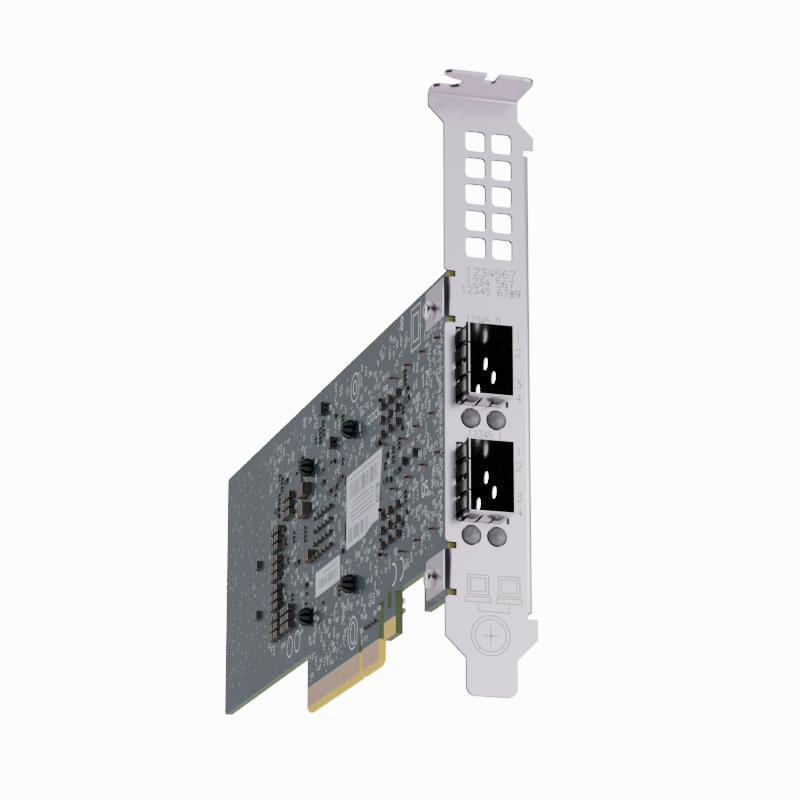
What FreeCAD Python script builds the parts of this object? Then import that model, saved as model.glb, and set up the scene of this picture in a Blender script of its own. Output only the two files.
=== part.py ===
import FreeCAD, Part
import math
import os
from types import SimpleNamespace
import Sketcher

# A dual-port network interface card: a long, low circuit board on a full-height slot bracket.
#
# Frame: +Z up along the bracket, +Y from the bracket's outer face into the machine, +X to the side
# that carries the parts.  The origin is the card-edge connector: middle of the key notch, middle of
# the board's thickness, lowest edge of the tongue.  All lengths are millimetres.

SIZES = {
    # Circuit board, measured from the bracket's outer face (Y) and from the tongue's edge (Z)
    "board_thick": 1.57,
    "board_far": 167.65,
    "board_near": 1.3,
    "board_top": 68.9,
    "board_low": 12.65,
    "board_corner": 1.0,
    "lobe_far": 16.0,
    "lobe_low": 4.5,
    "hook_near": 34.5,
    "hook_far": 42.2,
    "hook_low": 4.25,
    "hook_slot_across": 2.6,
    "hook_slot_tall": 3.6,
    "hook_slot_height": 11.8,
    "hook_slot_corner": 1.2,
    "key_from_face": 58.42,
    "key_across": 1.9,
    "key_deep": 8.25,
    "key_corner": 0.93,
    "tongue_near": 11.65,
    "tongue_far": 38.65,
    "tongue_corner": 1.3,
    "bevel_tall": 1.3,
    "bevel_deep": 0.45,
    # Contact pads on both faces of the tongue
    "contact_pitch": 1.0,
    "contact_across": 0.7,
    "contact_tall": 3.9,
    "contact_lift": 1.35,
    "contact_thick": 0.05,
    "contacts_near": 11,
    "contacts_far": 38,
    # Bracket: one folded sheet
    "sheet": 0.86,
    "bend": 0.45,
    "bracket_across": 18.42,
    "bracket_tall": 120.02,
    "tip_drop": 14.6,
    "tip_across": 10.19,
    "tip_corner": 1.9,
    "tip_shoulder": 7.2,
    "side_start": 11.3,
    "flange_shift": 3.18,
    "flange_deep": 11.43,
    "neck_left": 116.6,
    "neck_right": 115.1,
    "slot_across": 4.42,
    "slot_near": 3.6,
    "slot_deep": 4.95,
    "slot_corner": 1.99,
    "slot_mouth": 1.7,
    "flange_notch_left": 5.1,
    "flange_notch_across": 2.5,
    "flange_notch_deep": 3.6,
    "flange_corner": 2.4,
    "flange_ear_corner": 1.4,
    "relief_tall": 1.3,
    "relief_deep": 2.2,
    "edge_corner": 0.9,
    "upper_tab": 74.0,
    "upper_tab_tall": 7.85,
    "lower_tab": 20.25,
    "lower_tab_tall": 7.75,
    "tab_far": 12.1,
    "tab_corner": 0.8,
    "lip_notch_low": 15.35,
    "lip_notch_high": 108.4,
    "lip_notch_tall": 1.0,
    "lip_notch_deep": 2.0,
    "lip_inset": 0.8,
    "lip_deep": 3.2,
    "lip_gap": 0.3,
    # Air vents in the bracket
    "vent": 4.05,
    "vent_corner": 0.8,
    "vent_left": 6.45,
    "vent_drop": 9.96,
    "vent_step_across": 5.38,
    "vent_step_up": 5.44,
    "vent_rows": 5,
    # Bracket screws and the nuts pressed into the board
    "screw_y": 8.0,
    "upper_screw_z": 77.1,
    "lower_screw_z": 23.75,
    "screw_radius": 1.25,
    "screw_head_radius": 1.95,
    "screw_head_tall": 1.6,
    "screw_slack": 0.15,
    "nut_flat": 2.5,
    "nut_side": 2.887,
    "nut_tall": 1.8,
    "nut_fit": 0.02,
    # Port cages
    "port_x": 7.48,
    "port_low_z": 41.2,
    "port_pitch": 22.95,
    "cage_across": 14.4,
    "cage_tall": 9.15,
    "cage_wall": 0.25,
    "cage_out": 5.8,
    "cage_long": 49.0,
    "cage_corner": 0.5,
    "cage_opening": 12.2,
    "cage_opening_margin": 1.2,
    "cage_hole": 1.2,
    "cage_hole_first": 6.05,
    "cage_hole_step": 9.5,
    "cage_hole_shift": 4.1,
    "cage_hole_columns": 2,
    "latch_half": 3.0,
    "latch_slit": 0.35,
    "latch_long": 7.5,
    "latch_hole_half": 1.5,
    "latch_hole_long": 2.4,
    "latch_hole_from_rim": 1.8,
    "pin_across": 0.7,
    "pin_out": 1.0,
    "pin_hole_across": 1.0,
    "pin_shoulder": 1.5,
    "pin_first": 6.3,
    "pin_stagger": 3.8,
    "rear_pin_half": 4.6,
    "pin_step": 9.7,
    "pins_upper": 4,
    "pins_lower": 3,
    # Opening in the bracket for a cage, and the spring collar that closes the gap
    "port_opening_across": 15.5,
    "port_opening_tall": 10.6,
    "collar_sheet": 0.12,
    "collar_front": 5.1,
    "collar_back": 3.9,
    "collar_band": 0.8,
    "finger_across": 2.2,
    "finger_pitch_long": 3.35,
    "finger_pitch_short": 2.75,
    "fingers_long": 4,
    "fingers_short": 3,
    "finger_gap": 0.06,
    "finger_crest_far": 0.15,
    # Host connector inside each cage
    "host_near": 33.2,
    "host_deep": 8.6,
    "host_across": 11.4,
    "host_tall": 6.4,
    "host_slot_tall": 1.6,
    "host_slot_across": 9.3,
    "host_slot_deep": 5.0,
    "host_slot_lift": 2.6,
    "host_pin_pitch": 0.8,
    "host_pins": 10,
    "host_pin_across": 0.3,
    "host_pin_long": 1.2,
    "host_pin_thick": 0.2,
    # Light pipes and the lamps under them
    "pipe_radius": 1.85,
    "pipe_hole_slack": 0.15,
    "pipe_low_x": 5.2,
    "pipe_step_x": 5.1,
    "pipe_drop": 10.35,
    "pipe_proud": 0.3,
    "pipe_far": 17.0,
    "pipe_far_step": 5.6,
    "pipe_stem": 2.6,
    "pipe_collar_far": 3.0,
    "pipe_web": 1.2,
    "pipe_web_near": 5.0,
    "pipe_web_far": 12.0,
    "lamp_long": 1.6,
    "lamp_across": 0.8,
    "lamp_tall": 0.6,
    "lamp_gap": 0.15,
    # Controller, heat sink and its spring pins
    "sink_y": 80.2,
    "sink_z": 37.15,
    "sink_long": 44.0,
    "sink_tall": 42.0,
    "sink_base": 1.8,
    "fin_out": 2.7,
    "fin_thick": 1.0,
    "fins": 11,
    "sink_pin_step_y": 32.2,
    "sink_pin_step_z": 32.9,
    "sink_pin_clear": 7.6,
    "chip_side": 25.0,
    "chip_base": 1.25,
    "lid_side": 22.0,
    "lid_tall": 1.75,
    "pad_side": 20.0,
    "pad_thick": 0.4,
    "push_leg": 1.9,
    "push_plate": 0.9,
    "push_pin_slack": 0.15,
    "push_head_radius": 2.5,
    "push_head_tall": 0.7,
    "push_barb_out": 1.0,
    "push_barb_tall": 2.4,
    "push_barb_tip": 0.4,
    "push_tall": 1.9,
    # Labels on the solder side
    "label_thick": 0.1,
    "label_near": 43.4,
    "label_far": 68.6,
    "label_top": 59.0,
    "label_low": 43.5,
    "label_narrow": 46.0,
    "label_bend_near": 50.5,
    "label_bend_far": 56.5,
    "label_notch": 44.8,
    "small_label_near": 73.4,
    "small_label_long": 18.2,
    "small_label_low": 38.4,
    "small_label_tall": 5.3,
}

# Soldered components: body size, which side of the board (1 carries the chips, -1 is the solder
# side), place of the first body's middle from the bracket's face and tip, and spacing of the rest.
# A family that stands beside another one takes its place from that one and a gap.
COMPONENTS = {
    "flash_memory": {"side": 1, "long": 5.3, "across": 6.0, "tall": 1.6, "y": 51.5, "z": 72.0},
    "crystal": {"side": 1, "long": 5.0, "across": 3.2, "tall": 1.1, "y": 52.0, "z": 36.5},
    "management_chip": {"side": 1, "long": 9.0, "across": 9.0, "tall": 0.9, "y": 116.0, "z": 38.5},
    "power_regulators": {
        "side": 1, "long": 5.0, "across": 6.0, "tall": 0.9, "y": 117.5, "z": 54.0, "step_z": 10.5, "rows": 3,
    },
    "power_inductors": {
        "side": 1, "long": 7.0, "across": 6.6, "tall": 4.0, "beside": "power_regulators", "gap": 3.5,
        "step_z": 10.5, "rows": 3,
    },
    "tantalum_capacitors": {
        "side": 1, "long": 7.3, "across": 4.3, "tall": 2.9, "beside": "power_inductors", "gap": 4.0,
        "step_z": 6.5, "rows": 4,
    },
    "hook_capacitor": {"side": 1, "long": 2.0, "across": 0.9, "tall": 0.9, "y": 36.3, "z": 23.8},
    "host_side_chips": {
        "side": 1, "long": 2.9, "across": 1.6, "tall": 1.1, "y": 50.0, "z": 44.0, "step_z": 8.0, "rows": 3,
    },
    "port_capacitors": {
        "side": -1, "long": 1.7, "across": 1.5, "tall": 0.9, "y": 32.6, "z": 38.45,
        "step_y": 5.0, "columns": 3, "step_z": 3.0, "rows": 3, "again_z": 22.95, "again": 2,
    },
    "solder_side_chips": {
        "side": -1, "long": 1.9, "across": 1.6, "tall": 0.8, "y": 21.1, "z": 52.1, "step_y": 6.9, "columns": 2,
    },
    "edge_capacitors": {
        "side": -1, "long": 1.1, "across": 0.6, "tall": 0.5, "y": 48.3, "z": 24.2, "step_y": 2.2, "columns": 4,
    },
    "core_capacitors": {
        "side": -1, "long": 1.3, "across": 0.8, "tall": 0.7, "y": 80.5, "z": 47.4,
        "step_y": 2.9, "columns": 5, "step_z": 2.8, "rows": 4,
    },
    "bulk_capacitors": {
        "side": -1, "long": 4.2, "across": 3.0, "tall": 1.7, "y": 99.3, "z": 59.4, "step_z": 4.4, "rows": 2,
    },
    "bypass_capacitors": {"side": -1, "long": 3.2, "across": 2.4, "tall": 1.5, "y": 94.8, "z": 48.2},
    "output_capacitors": {
        "side": -1, "long": 2.6, "across": 1.5, "tall": 1.2, "y": 120.3, "z": 36.4,
        "step_y": 3.6, "columns": 2, "step_z": 2.0, "rows": 3, "again_z": 6.6, "again": 4,
    },
    "input_capacitors": {
        "side": -1, "long": 2.6, "across": 1.5, "tall": 1.2, "y": 111.0, "z": 36.4,
        "step_y": 3.6, "columns": 2, "step_z": 2.0, "rows": 3, "again_z": 25.3, "again": 2,
    },
    "clamp_diodes": {"side": -1, "long": 3.2, "across": 2.6, "tall": 1.2, "y": 85.6, "z": 78.4},
    "signal_filter": {"side": -1, "long": 2.8, "across": 2.4, "tall": 1.2, "y": 78.4, "z": 69.0},
    "filter_beads": {
        "side": -1, "long": 2.4, "across": 1.9, "tall": 0.9, "y": 138.4, "z": 44.5, "step_z": 11.5, "rows": 2,
    },
}
for name, words in COMPONENTS.items():
    SIZES.update({f"{name}_{word}": amount for word, amount in words.items() if word != "beside"})

doc = FreeCAD.newDocument("network_interface_card")
sheet = doc.addObject("Spreadsheet::Sheet", "Sizes")
for row, (word, amount) in enumerate(SIZES.items(), start=1):
    sheet.set(f"A{row}", word.replace("_", " "))
    sheet.set(f"B{row}", str(amount))
    sheet.setAlias(f"B{row}", word)
doc.recompute()


class Size:
    """A number together with the spreadsheet formula that it comes from."""

    def __init__(self, amount, formula):
        self.amount = float(amount)
        self.formula = formula

    def __add__(self, other):
        return Size(self.amount + number(other), f"({self.formula} + {formula(other)})")

    def __sub__(self, other):
        return Size(self.amount - number(other), f"({self.formula} - {formula(other)})")

    def __mul__(self, other):
        return Size(self.amount * number(other), f"({self.formula} * {formula(other)})")

    def __truediv__(self, other):
        return Size(self.amount / number(other), f"({self.formula} / {formula(other)})")

    def __radd__(self, other):
        return Size(number(other), formula(other)) + self

    def __rsub__(self, other):
        return Size(number(other), formula(other)) - self

    def __rmul__(self, other):
        return self * other

    def __neg__(self):
        return Size(-self.amount, f"(0 - {self.formula})")


def number(size):
    return size.amount if isinstance(size, Size) else float(size)


def formula(size):
    return size.formula if isinstance(size, Size) else repr(float(size))


s = SimpleNamespace(**{word: Size(amount, f"Sizes.{word}") for word, amount in SIZES.items()})


def bind(item, name, size):
    """Set a property and tie it to its cells in the sheet."""
    if isinstance(size, Size):
        item.setExpression(name, size.formula)


def place(item, x=0, y=0, z=0, turn=FreeCAD.Rotation()):
    item.Placement = FreeCAD.Placement(FreeCAD.Vector(number(x), number(y), number(z)), turn)
    bind(item, "Placement.Base.x", x)
    bind(item, "Placement.Base.y", y)
    bind(item, "Placement.Base.z", z)


class Drawing:
    """A sketch on a plane of its own body, with every corner held by a formula."""

    def __init__(self, body, plane, lift=0):
        self.sketch = body.newObject("Sketcher::SketchObject", f"{body.Name}_sketch")
        support = [item for item in body.Origin.OriginFeatures if item.Role == f"{plane}_Plane"]
        self.sketch.AttachmentSupport = [(support[0], "")]
        self.sketch.MapMode = "FlatFace"
        shift = FreeCAD.Vector(0, 0, number(lift))
        self.sketch.AttachmentOffset = FreeCAD.Placement(shift, FreeCAD.Rotation())
        bind(self.sketch, "AttachmentOffset.Base.z", lift)

    def add(self, shape, helper=False):
        return self.sketch.addGeometry(shape, helper)

    def hold(self, rules):
        """Add constraints in one go; a rule that ends in a Size is also tied to the sheet."""
        ready = []
        for rule in rules:
            last = rule[-1]
            if isinstance(last, Size):
                rule = rule[:-1] + (last.amount,)
            ready.append(Sketcher.Constraint(*rule))
        numbers = self.sketch.addConstraint(ready)
        for index, rule in zip(numbers, rules):
            if isinstance(rule[-1], Size):
                name = f"size{index}"
                self.sketch.renameConstraint(index, name)
                self.sketch.setExpression(f"Constraints.{name}", rule[-1].formula)

    def loop(self, corners):
        """Closed outline through the corners (x, y) or (x, y, radius)."""
        points = [FreeCAD.Vector(number(c[0]), number(c[1]), 0) for c in corners]
        count = len(corners)
        rounds = []
        for index, corner in enumerate(corners):
            here = points[index]
            before = (points[index - 1] - here).normalize()
            after = (points[(index + 1) % count] - here).normalize()
            if len(corner) < 3:
                rounds.append((here, here, None))
                continue
            half = before.getAngle(after) / 2
            radius = number(corner[2])
            reach = radius / math.tan(half)
            middle = here + (before + after).normalize() * (radius / math.sin(half))
            left_turn = before.cross(after).z < 0
            rounds.append((here + before * reach, here + after * reach, (middle, radius, left_turn)))
        lines = []
        for index in range(count):
            start = rounds[index][1]
            end = rounds[(index + 1) % count][0]
            lines.append(self.add(Part.LineSegment(start, end)))
        rules = []
        for index, corner in enumerate(corners):
            into, out_of = lines[index - 1], lines[index]
            first, last, curve = rounds[index]
            x, y = sized(corner[0]), sized(corner[1])
            if curve is None:
                rules.append(("Coincident", into, 2, out_of, 1))
                rules.append(("DistanceX", -1, 1, out_of, 1, x))
                rules.append(("DistanceY", -1, 1, out_of, 1, y))
                continue
            middle, radius, left_turn = curve
            begin, finish = (first, last) if left_turn else (last, first)
            circle = Part.Circle(middle, FreeCAD.Vector(0, 0, 1), radius)
            arc = self.add(Part.ArcOfCircle(circle, heading(middle, begin), heading(middle, finish)))
            near, far = (1, 2) if left_turn else (2, 1)
            mark = self.add(Part.Point(points[index]), True)
            rules.append(("Tangent", into, 2, arc, near))
            rules.append(("Tangent", arc, far, out_of, 1))
            rules.append(("Radius", arc, sized(corner[2])))
            rules.append(("DistanceX", -1, 1, mark, 1, x))
            rules.append(("DistanceY", -1, 1, mark, 1, y))
            rules.append(("PointOnObject", mark, 1, into))
            rules.append(("PointOnObject", mark, 1, out_of))
        self.hold(rules)
        return self

    def rectangle(self, x, y, across, tall, radius=None):
        """Rectangle from its lower left corner."""
        corners = [(x, y), (x + across, y), (x + across, y + tall), (x, y + tall)]
        if radius is not None:
            corners = [corner + (radius,) for corner in corners]
        return self.loop(corners)

    def circle(self, x, y, radius):
        centre = FreeCAD.Vector(number(x), number(y), 0)
        ring = self.add(Part.Circle(centre, FreeCAD.Vector(0, 0, 1), number(radius)))
        self.hold([
            ("DistanceX", -1, 1, ring, 3, sized(x)),
            ("DistanceY", -1, 1, ring, 3, sized(y)),
            ("Radius", ring, sized(radius)),
        ])
        return self


def sized(value):
    return value if isinstance(value, Size) else Size(value, repr(float(value)))


def heading(centre, point):
    return math.atan2(point.y - centre.y, point.x - centre.x)


class Piece:
    """One sub-part made as a PartDesign body, placed in the card's frame."""

    def __init__(self, label, x=0, y=0, z=0):
        self.body = doc.addObject("PartDesign::Body", label)
        self.body.Label = label
        place(self.body, x, y, z)
        finished.append(self.body)

    def draw(self, plane, lift=0):
        return Drawing(self.body, plane, lift)

    def feature(self, kind, **links):
        item = self.body.newObject(f"PartDesign::{kind}", f"{self.body.Name}_{kind.lower()}")
        for name, value in links.items():
            if isinstance(value, Size):
                setattr(item, name, value.amount)
                bind(item, name, value)
            else:
                setattr(item, name, value)
        return item

    def pad(self, drawing, length, back=False):
        """Grow a sketch along its plane's normal, or against it."""
        return self.feature("Pad", Profile=drawing.sketch, Length=sized(length), Reversed=back)

    def cut(self, drawing, length=None, back=False):
        """Sink a sketch by a length, or through everything on both sides."""
        if length is None:
            return self.feature("Pocket", Profile=drawing.sketch, Type="ThroughAll", Midplane=True)
        return self.feature("Pocket", Profile=drawing.sketch, Length=sized(length), Reversed=back)

    def axis(self, role):
        return [item for item in self.body.Origin.OriginFeatures if item.Role == role][0]

    def row(self, features, axis, step, count, back=False):
        """Repeat features along an axis of the body."""
        links = {"Originals": features, "Direction": (self.axis(f"{axis}_Axis"), [""]), "Reversed": back}
        item = self.feature("LinearPattern", **links)
        item.Length = number(step * (count - 1))
        bind(item, "Length", step * (count - 1))
        item.Occurrences = round(number(count))
        bind(item, "Occurrences", count)
        self.body.Tip = item
        return item

    def grid(self, features, *rows):
        """Repeat features along two axes; each row is (axis, step, count)."""
        item = self.feature("MultiTransform", Originals=features)
        steps = []
        for axis, step, count in rows:
            part = self.feature("LinearPattern", Direction=(self.axis(f"{axis}_Axis"), [""]))
            part.Length = number(step * (count - 1))
            bind(part, "Length", step * (count - 1))
            part.Occurrences = round(number(count))
            bind(part, "Occurrences", count)
            steps.append(part)
        item.Transformations = steps
        self.body.Tip = item
        return item


finished = []

# Places that several pieces share
face_y = -s.key_from_face
solder_x = s.board_thick / -2
parts_x = s.board_thick / 2
left_x = solder_x - s.sheet
tip_z = -s.tip_drop
bend_out = s.bend + s.sheet
port_x = left_x + s.port_x
screw_heights = (s.upper_screw_z - s.tip_drop, s.lower_screw_z - s.tip_drop)
leg_hole = s.push_leg + s.push_pin_slack * 2


def make_board():
    board = Piece("circuit_board", solder_x, face_y, 0)
    key_near = s.key_from_face - s.key_across / 2
    key_far = s.key_from_face + s.key_across / 2
    near_end = key_near - s.tongue_near
    far_end = key_far + s.tongue_far
    plan = board.draw("YZ")
    plan.loop([
        (s.board_near, s.lobe_low),
        (s.lobe_far, s.lobe_low),
        (s.lobe_far, s.board_low),
        (s.hook_near, s.board_low),
        (s.hook_near, s.hook_low),
        (s.hook_far, s.hook_low),
        (s.hook_far, s.board_low),
        (near_end, s.board_low),
        (near_end, 0, s.tongue_corner),
        (key_near, 0),
        (key_near, s.key_deep, s.key_corner),
        (key_far, s.key_deep, s.key_corner),
        (key_far, 0),
        (far_end, 0, s.tongue_corner),
        (far_end, s.board_low),
        (s.board_far, s.board_low, s.board_corner),
        (s.board_far, s.board_top, s.board_corner),
        (s.board_near, s.board_top),
    ])
    board.pad(plan, s.board_thick)
    holes = board.draw("YZ")
    for height in screw_heights:
        holes.circle(s.screw_y, height, s.screw_radius + s.screw_slack)
    for across in (-0.5, 0.5):
        for up in (-0.5, 0.5):
            y = s.sink_y + s.sink_pin_step_y * across - leg_hole / 2
            z = s.sink_z + s.sink_pin_step_z * up - leg_hole / 2
            holes.rectangle(y, z, leg_hole, leg_hole)
    half = s.pin_hole_across / 2
    for y, z in cage_pins():
        holes.rectangle(y - half, z - half, s.pin_hole_across, s.pin_hole_across)
    slot_y = (s.hook_near + s.hook_far - s.hook_slot_across) / 2
    slot_z = s.hook_slot_height - s.hook_slot_tall / 2
    holes.rectangle(slot_y, slot_z, s.hook_slot_across, s.hook_slot_tall, s.hook_slot_corner)
    board.cut(holes)
    bevel = board.draw("XZ", -near_end)
    for wall, inward in ((0, 1), (s.board_thick, -1)):
        edge = s.bevel_deep * inward
        bevel.loop([(wall - edge, 0), (wall + edge, 0), (wall, s.bevel_tall), (wall - edge, s.bevel_tall)])
    board.cut(bevel, far_end - near_end)
    return board


# Heights of the two ports, lower one first, and of the light pipes below them
port_heights = (s.port_low_z - s.tip_drop, s.port_low_z + s.port_pitch - s.tip_drop)


def pipe_heights():
    return [height - s.pipe_drop for height in port_heights]


def wall_pins():
    """Places of a cage's side pins: (y, z) from the bracket's face and the cage's middle."""
    upper = s.cage_across / 2 - s.cage_wall / 2
    places = [(s.pin_first + s.pin_step * index, upper) for index in range(SIZES["pins_upper"])]
    lower_first = s.pin_first + s.pin_stagger
    places += [(lower_first + s.pin_step * index, -upper) for index in range(SIZES["pins_lower"])]
    return places


def cage_pins():
    """Every cage pin hole in the board."""
    rear = s.cage_long - s.cage_out - s.cage_wall / 2
    places = []
    for height in port_heights:
        places += [(y, height + z) for y, z in wall_pins()]
        places += [(rear, height + s.rear_pin_half), (rear, height - s.rear_pin_half)]
    return places


def make_contacts():
    """Gold pads on both faces of the tongue."""
    contacts = Piece("edge_contacts", solder_x, face_y, 0)
    key_near = s.key_from_face - s.key_across / 2
    key_far = s.key_from_face + s.key_across / 2
    margin = (s.tongue_near - s.contact_pitch * (s.contacts_near - 1) - s.contact_across) / 2
    starts = ((key_near - margin - s.contact_across, s.contacts_near, True), (key_far + margin, s.contacts_far, False))
    rows = []
    for start, count, back in starts:
        for lift in (-s.contact_thick, s.board_thick):
            pad_plan = contacts.draw("YZ", lift)
            pad_plan.rectangle(start, s.contact_lift, s.contact_across, s.contact_tall)
            pad = contacts.pad(pad_plan, s.contact_thick)
            rows.append(contacts.row([pad], "Y", s.contact_pitch, count, back))
    return contacts


def make_bracket():
    """Folded slot bracket: face, top flange, two board tabs and a stiffening lip."""
    bracket = Piece("bracket", left_x, face_y, tip_z)
    right = s.bracket_across
    tip_left = (s.bracket_across - s.tip_across) / 2
    tip_right = tip_left + s.tip_across
    flange_right = s.bracket_across - s.flange_shift
    flange_left = -s.flange_shift
    face_top = s.bracket_tall - bend_out
    lip_edge = right - s.lip_inset - bend_out

    def tab_reliefs(low, tall):
        """Left edge of the face past one tab, going down: relief, fold line, relief."""
        high = low + tall
        return [
            (0, high + s.relief_tall, s.edge_corner),
            (s.relief_deep, high + s.relief_tall),
            (s.relief_deep, high),
            (bend_out, high),
            (bend_out, low),
            (s.relief_deep, low),
            (s.relief_deep, low - s.relief_tall),
            (0, low - s.relief_tall, s.edge_corner),
        ]

    face = bracket.draw("XZ")
    face.loop([
        (tip_left, 0, s.tip_corner),
        (tip_right, 0, s.tip_corner),
        (tip_right, s.tip_shoulder),
        (right, s.side_start),
        (right, s.lip_notch_low),
        (right - s.lip_notch_deep, s.lip_notch_low),
        (right - s.lip_notch_deep, s.lip_notch_low + s.lip_notch_tall),
        (lip_edge, s.lip_notch_low + s.lip_notch_tall),
        (lip_edge, s.lip_notch_high),
        (right - s.lip_notch_deep, s.lip_notch_high),
        (right - s.lip_notch_deep, s.lip_notch_high + s.lip_notch_tall),
        (right, s.lip_notch_high + s.lip_notch_tall),
        (right, s.neck_right - s.flange_shift),
        (flange_right, s.neck_right),
        (flange_right, face_top),
        (flange_left, face_top),
        (flange_left, s.neck_left),
        (0, s.neck_left - s.flange_shift),
        *tab_reliefs(s.upper_tab, s.upper_tab_tall),
        *tab_reliefs(s.lower_tab, s.lower_tab_tall),
        (0, s.side_start),
        (tip_left, s.tip_shoulder),
    ])
    bracket.pad(face, s.sheet, back=True)

    fold = bracket.draw("YZ", flange_left)
    quarter(fold, s.sheet - bend_out, face_top, 0)
    bracket.pad(fold, flange_right - flange_left)

    flange = bracket.draw("XY", s.bracket_tall - s.sheet)
    fold_line = s.sheet - bend_out
    front = -s.flange_deep
    slot_front = -s.slot_near - s.slot_across
    slot_end = flange_left + s.slot_deep
    notch_left = s.flange_notch_left
    notch_right = notch_left + s.flange_notch_across
    notch_back = front + s.flange_notch_deep
    flange.loop([
        (flange_right, fold_line),
        (flange_left, fold_line),
        (flange_left, -s.slot_near, s.flange_ear_corner),
        (slot_end, -s.slot_near, s.slot_corner),
        (slot_end, slot_front, s.slot_corner),
        (slot_end - s.slot_across / 2, slot_front),
        (flange_left, slot_front - s.slot_mouth),
        (flange_left, front, s.flange_ear_corner),
        (notch_left, front),
        (notch_left, notch_back),
        (notch_right, notch_back),
        (notch_right, front),
        (flange_right, front, s.flange_corner),
    ])
    bracket.pad(flange, s.sheet)

    tabs = ((s.upper_tab, s.upper_tab_tall, screw_heights[0]), (s.lower_tab, s.lower_tab_tall, screw_heights[1]))
    for low, tall, screw_height in tabs:
        turn = bracket.draw("XY", low)
        quarter(turn, bend_out, bend_out, 2)
        bracket.pad(turn, tall)
        tab = bracket.draw("YZ")
        tab.loop([
            (bend_out, low),
            (s.tab_far, low, s.tab_corner),
            (s.tab_far, low + tall, s.tab_corner),
            (bend_out, low + tall),
        ])
        tab.circle(s.screw_y, screw_height + s.tip_drop, s.screw_radius + s.screw_slack)
        bracket.pad(tab, s.sheet)

    lip_low = s.lip_notch_low + s.lip_notch_tall + s.lip_gap
    lip_tall = s.lip_notch_high - s.lip_gap - lip_low
    turn = bracket.draw("XY", lip_low)
    quarter(turn, lip_edge, bend_out, 3)
    bracket.pad(turn, lip_tall)
    lip = bracket.draw("XY", lip_low)
    lip.rectangle(right - s.lip_inset - s.sheet, bend_out, s.sheet, s.lip_deep - bend_out)
    bracket.pad(lip, lip_tall)

    vents = bracket.draw("XZ")
    for column in (0, 1):
        left = s.vent_left - s.vent / 2 + s.vent_step_across * column
        low = s.bracket_tall - s.vent_drop - s.vent / 2
        vents.rectangle(left, low, s.vent, s.vent, s.vent_corner)
    bracket.row([bracket.cut(vents)], "Z", s.vent_step_up, s.vent_rows, back=True)

    opening = bracket.draw("XZ")
    opening.rectangle(
        s.port_x - s.port_opening_tall / 2,
        s.port_low_z - s.port_opening_across / 2,
        s.port_opening_tall,
        s.port_opening_across,
    )
    for index in (0, 1):
        x = s.pipe_low_x + s.pipe_step_x * index
        opening.circle(x, s.port_low_z - s.pipe_drop, s.pipe_radius + s.pipe_hole_slack)
    ports = bracket.cut(opening)
    bracket.row([ports], "Z", s.port_pitch, Size(2, "2"))
    return bracket


def quarter(drawing, x, y, quadrant):
    """Quarter ring of a fold about the centre (x, y); quadrant 0 lies up and to the right."""
    centre = FreeCAD.Vector(number(x), number(y), 0)
    turns = (math.pi / 2 * quadrant, math.pi / 2 * (quadrant + 1))
    arcs = []
    for radius in (s.bend, bend_out):
        circle = Part.Circle(centre, FreeCAD.Vector(0, 0, 1), radius.amount)
        arcs.append(drawing.add(Part.ArcOfCircle(circle, *turns)))
    rules = [("Radius", arcs[0], s.bend), ("Radius", arcs[1], bend_out)]
    for arc in arcs:
        rules.append(("DistanceX", -1, 1, arc, 3, sized(x)))
        rules.append(("DistanceY", -1, 1, arc, 3, sized(y)))
    level = ("Horizontal", "Vertical") if quadrant % 2 == 0 else ("Vertical", "Horizontal")
    for end, angle, rule in zip((1, 2), turns, level):
        spoke = FreeCAD.Vector(math.cos(angle), math.sin(angle), 0)
        inner_end = centre + spoke * s.bend.amount
        outer_end = centre + spoke * bend_out.amount
        line = drawing.add(Part.LineSegment(inner_end, outer_end))
        rules.append(("Coincident", line, 1, arcs[0], end))
        rules.append(("Coincident", line, 2, arcs[1], end))
        rules.append((rule, line))
    drawing.hold(rules)


def make_screws():
    """Two pan-head screws through the bracket's tabs and the board."""
    screws = Piece("bracket_screws", left_x, face_y, -s.tip_drop)
    shank_long = s.sheet + s.board_thick + s.nut_tall
    for height in (s.upper_screw_z, s.lower_screw_z):
        head = screws.draw("YZ", -s.screw_head_tall)
        head.circle(s.screw_y, height, s.screw_head_radius)
        screws.pad(head, s.screw_head_tall)
        shank = screws.draw("YZ")
        shank.circle(s.screw_y, height, s.screw_radius)
        screws.pad(shank, shank_long)
    return screws


def make_nuts():
    """Hexagon nuts soldered to the board, which take the bracket screws."""
    nuts = Piece("board_nuts", parts_x, face_y, -s.tip_drop)
    plan = nuts.draw("YZ")
    flat = s.nut_side / 2
    for height in (s.upper_screw_z, s.lower_screw_z):
        middle = s.screw_y
        plan.loop([
            (middle - s.nut_side, height),
            (middle - flat, height - s.nut_flat),
            (middle + flat, height - s.nut_flat),
            (middle + s.nut_side, height),
            (middle + flat, height + s.nut_flat),
            (middle - flat, height + s.nut_flat),
        ])
        plan.circle(middle, height, s.screw_radius + s.nut_fit)
    nuts.pad(plan, s.nut_tall)
    return nuts


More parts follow.
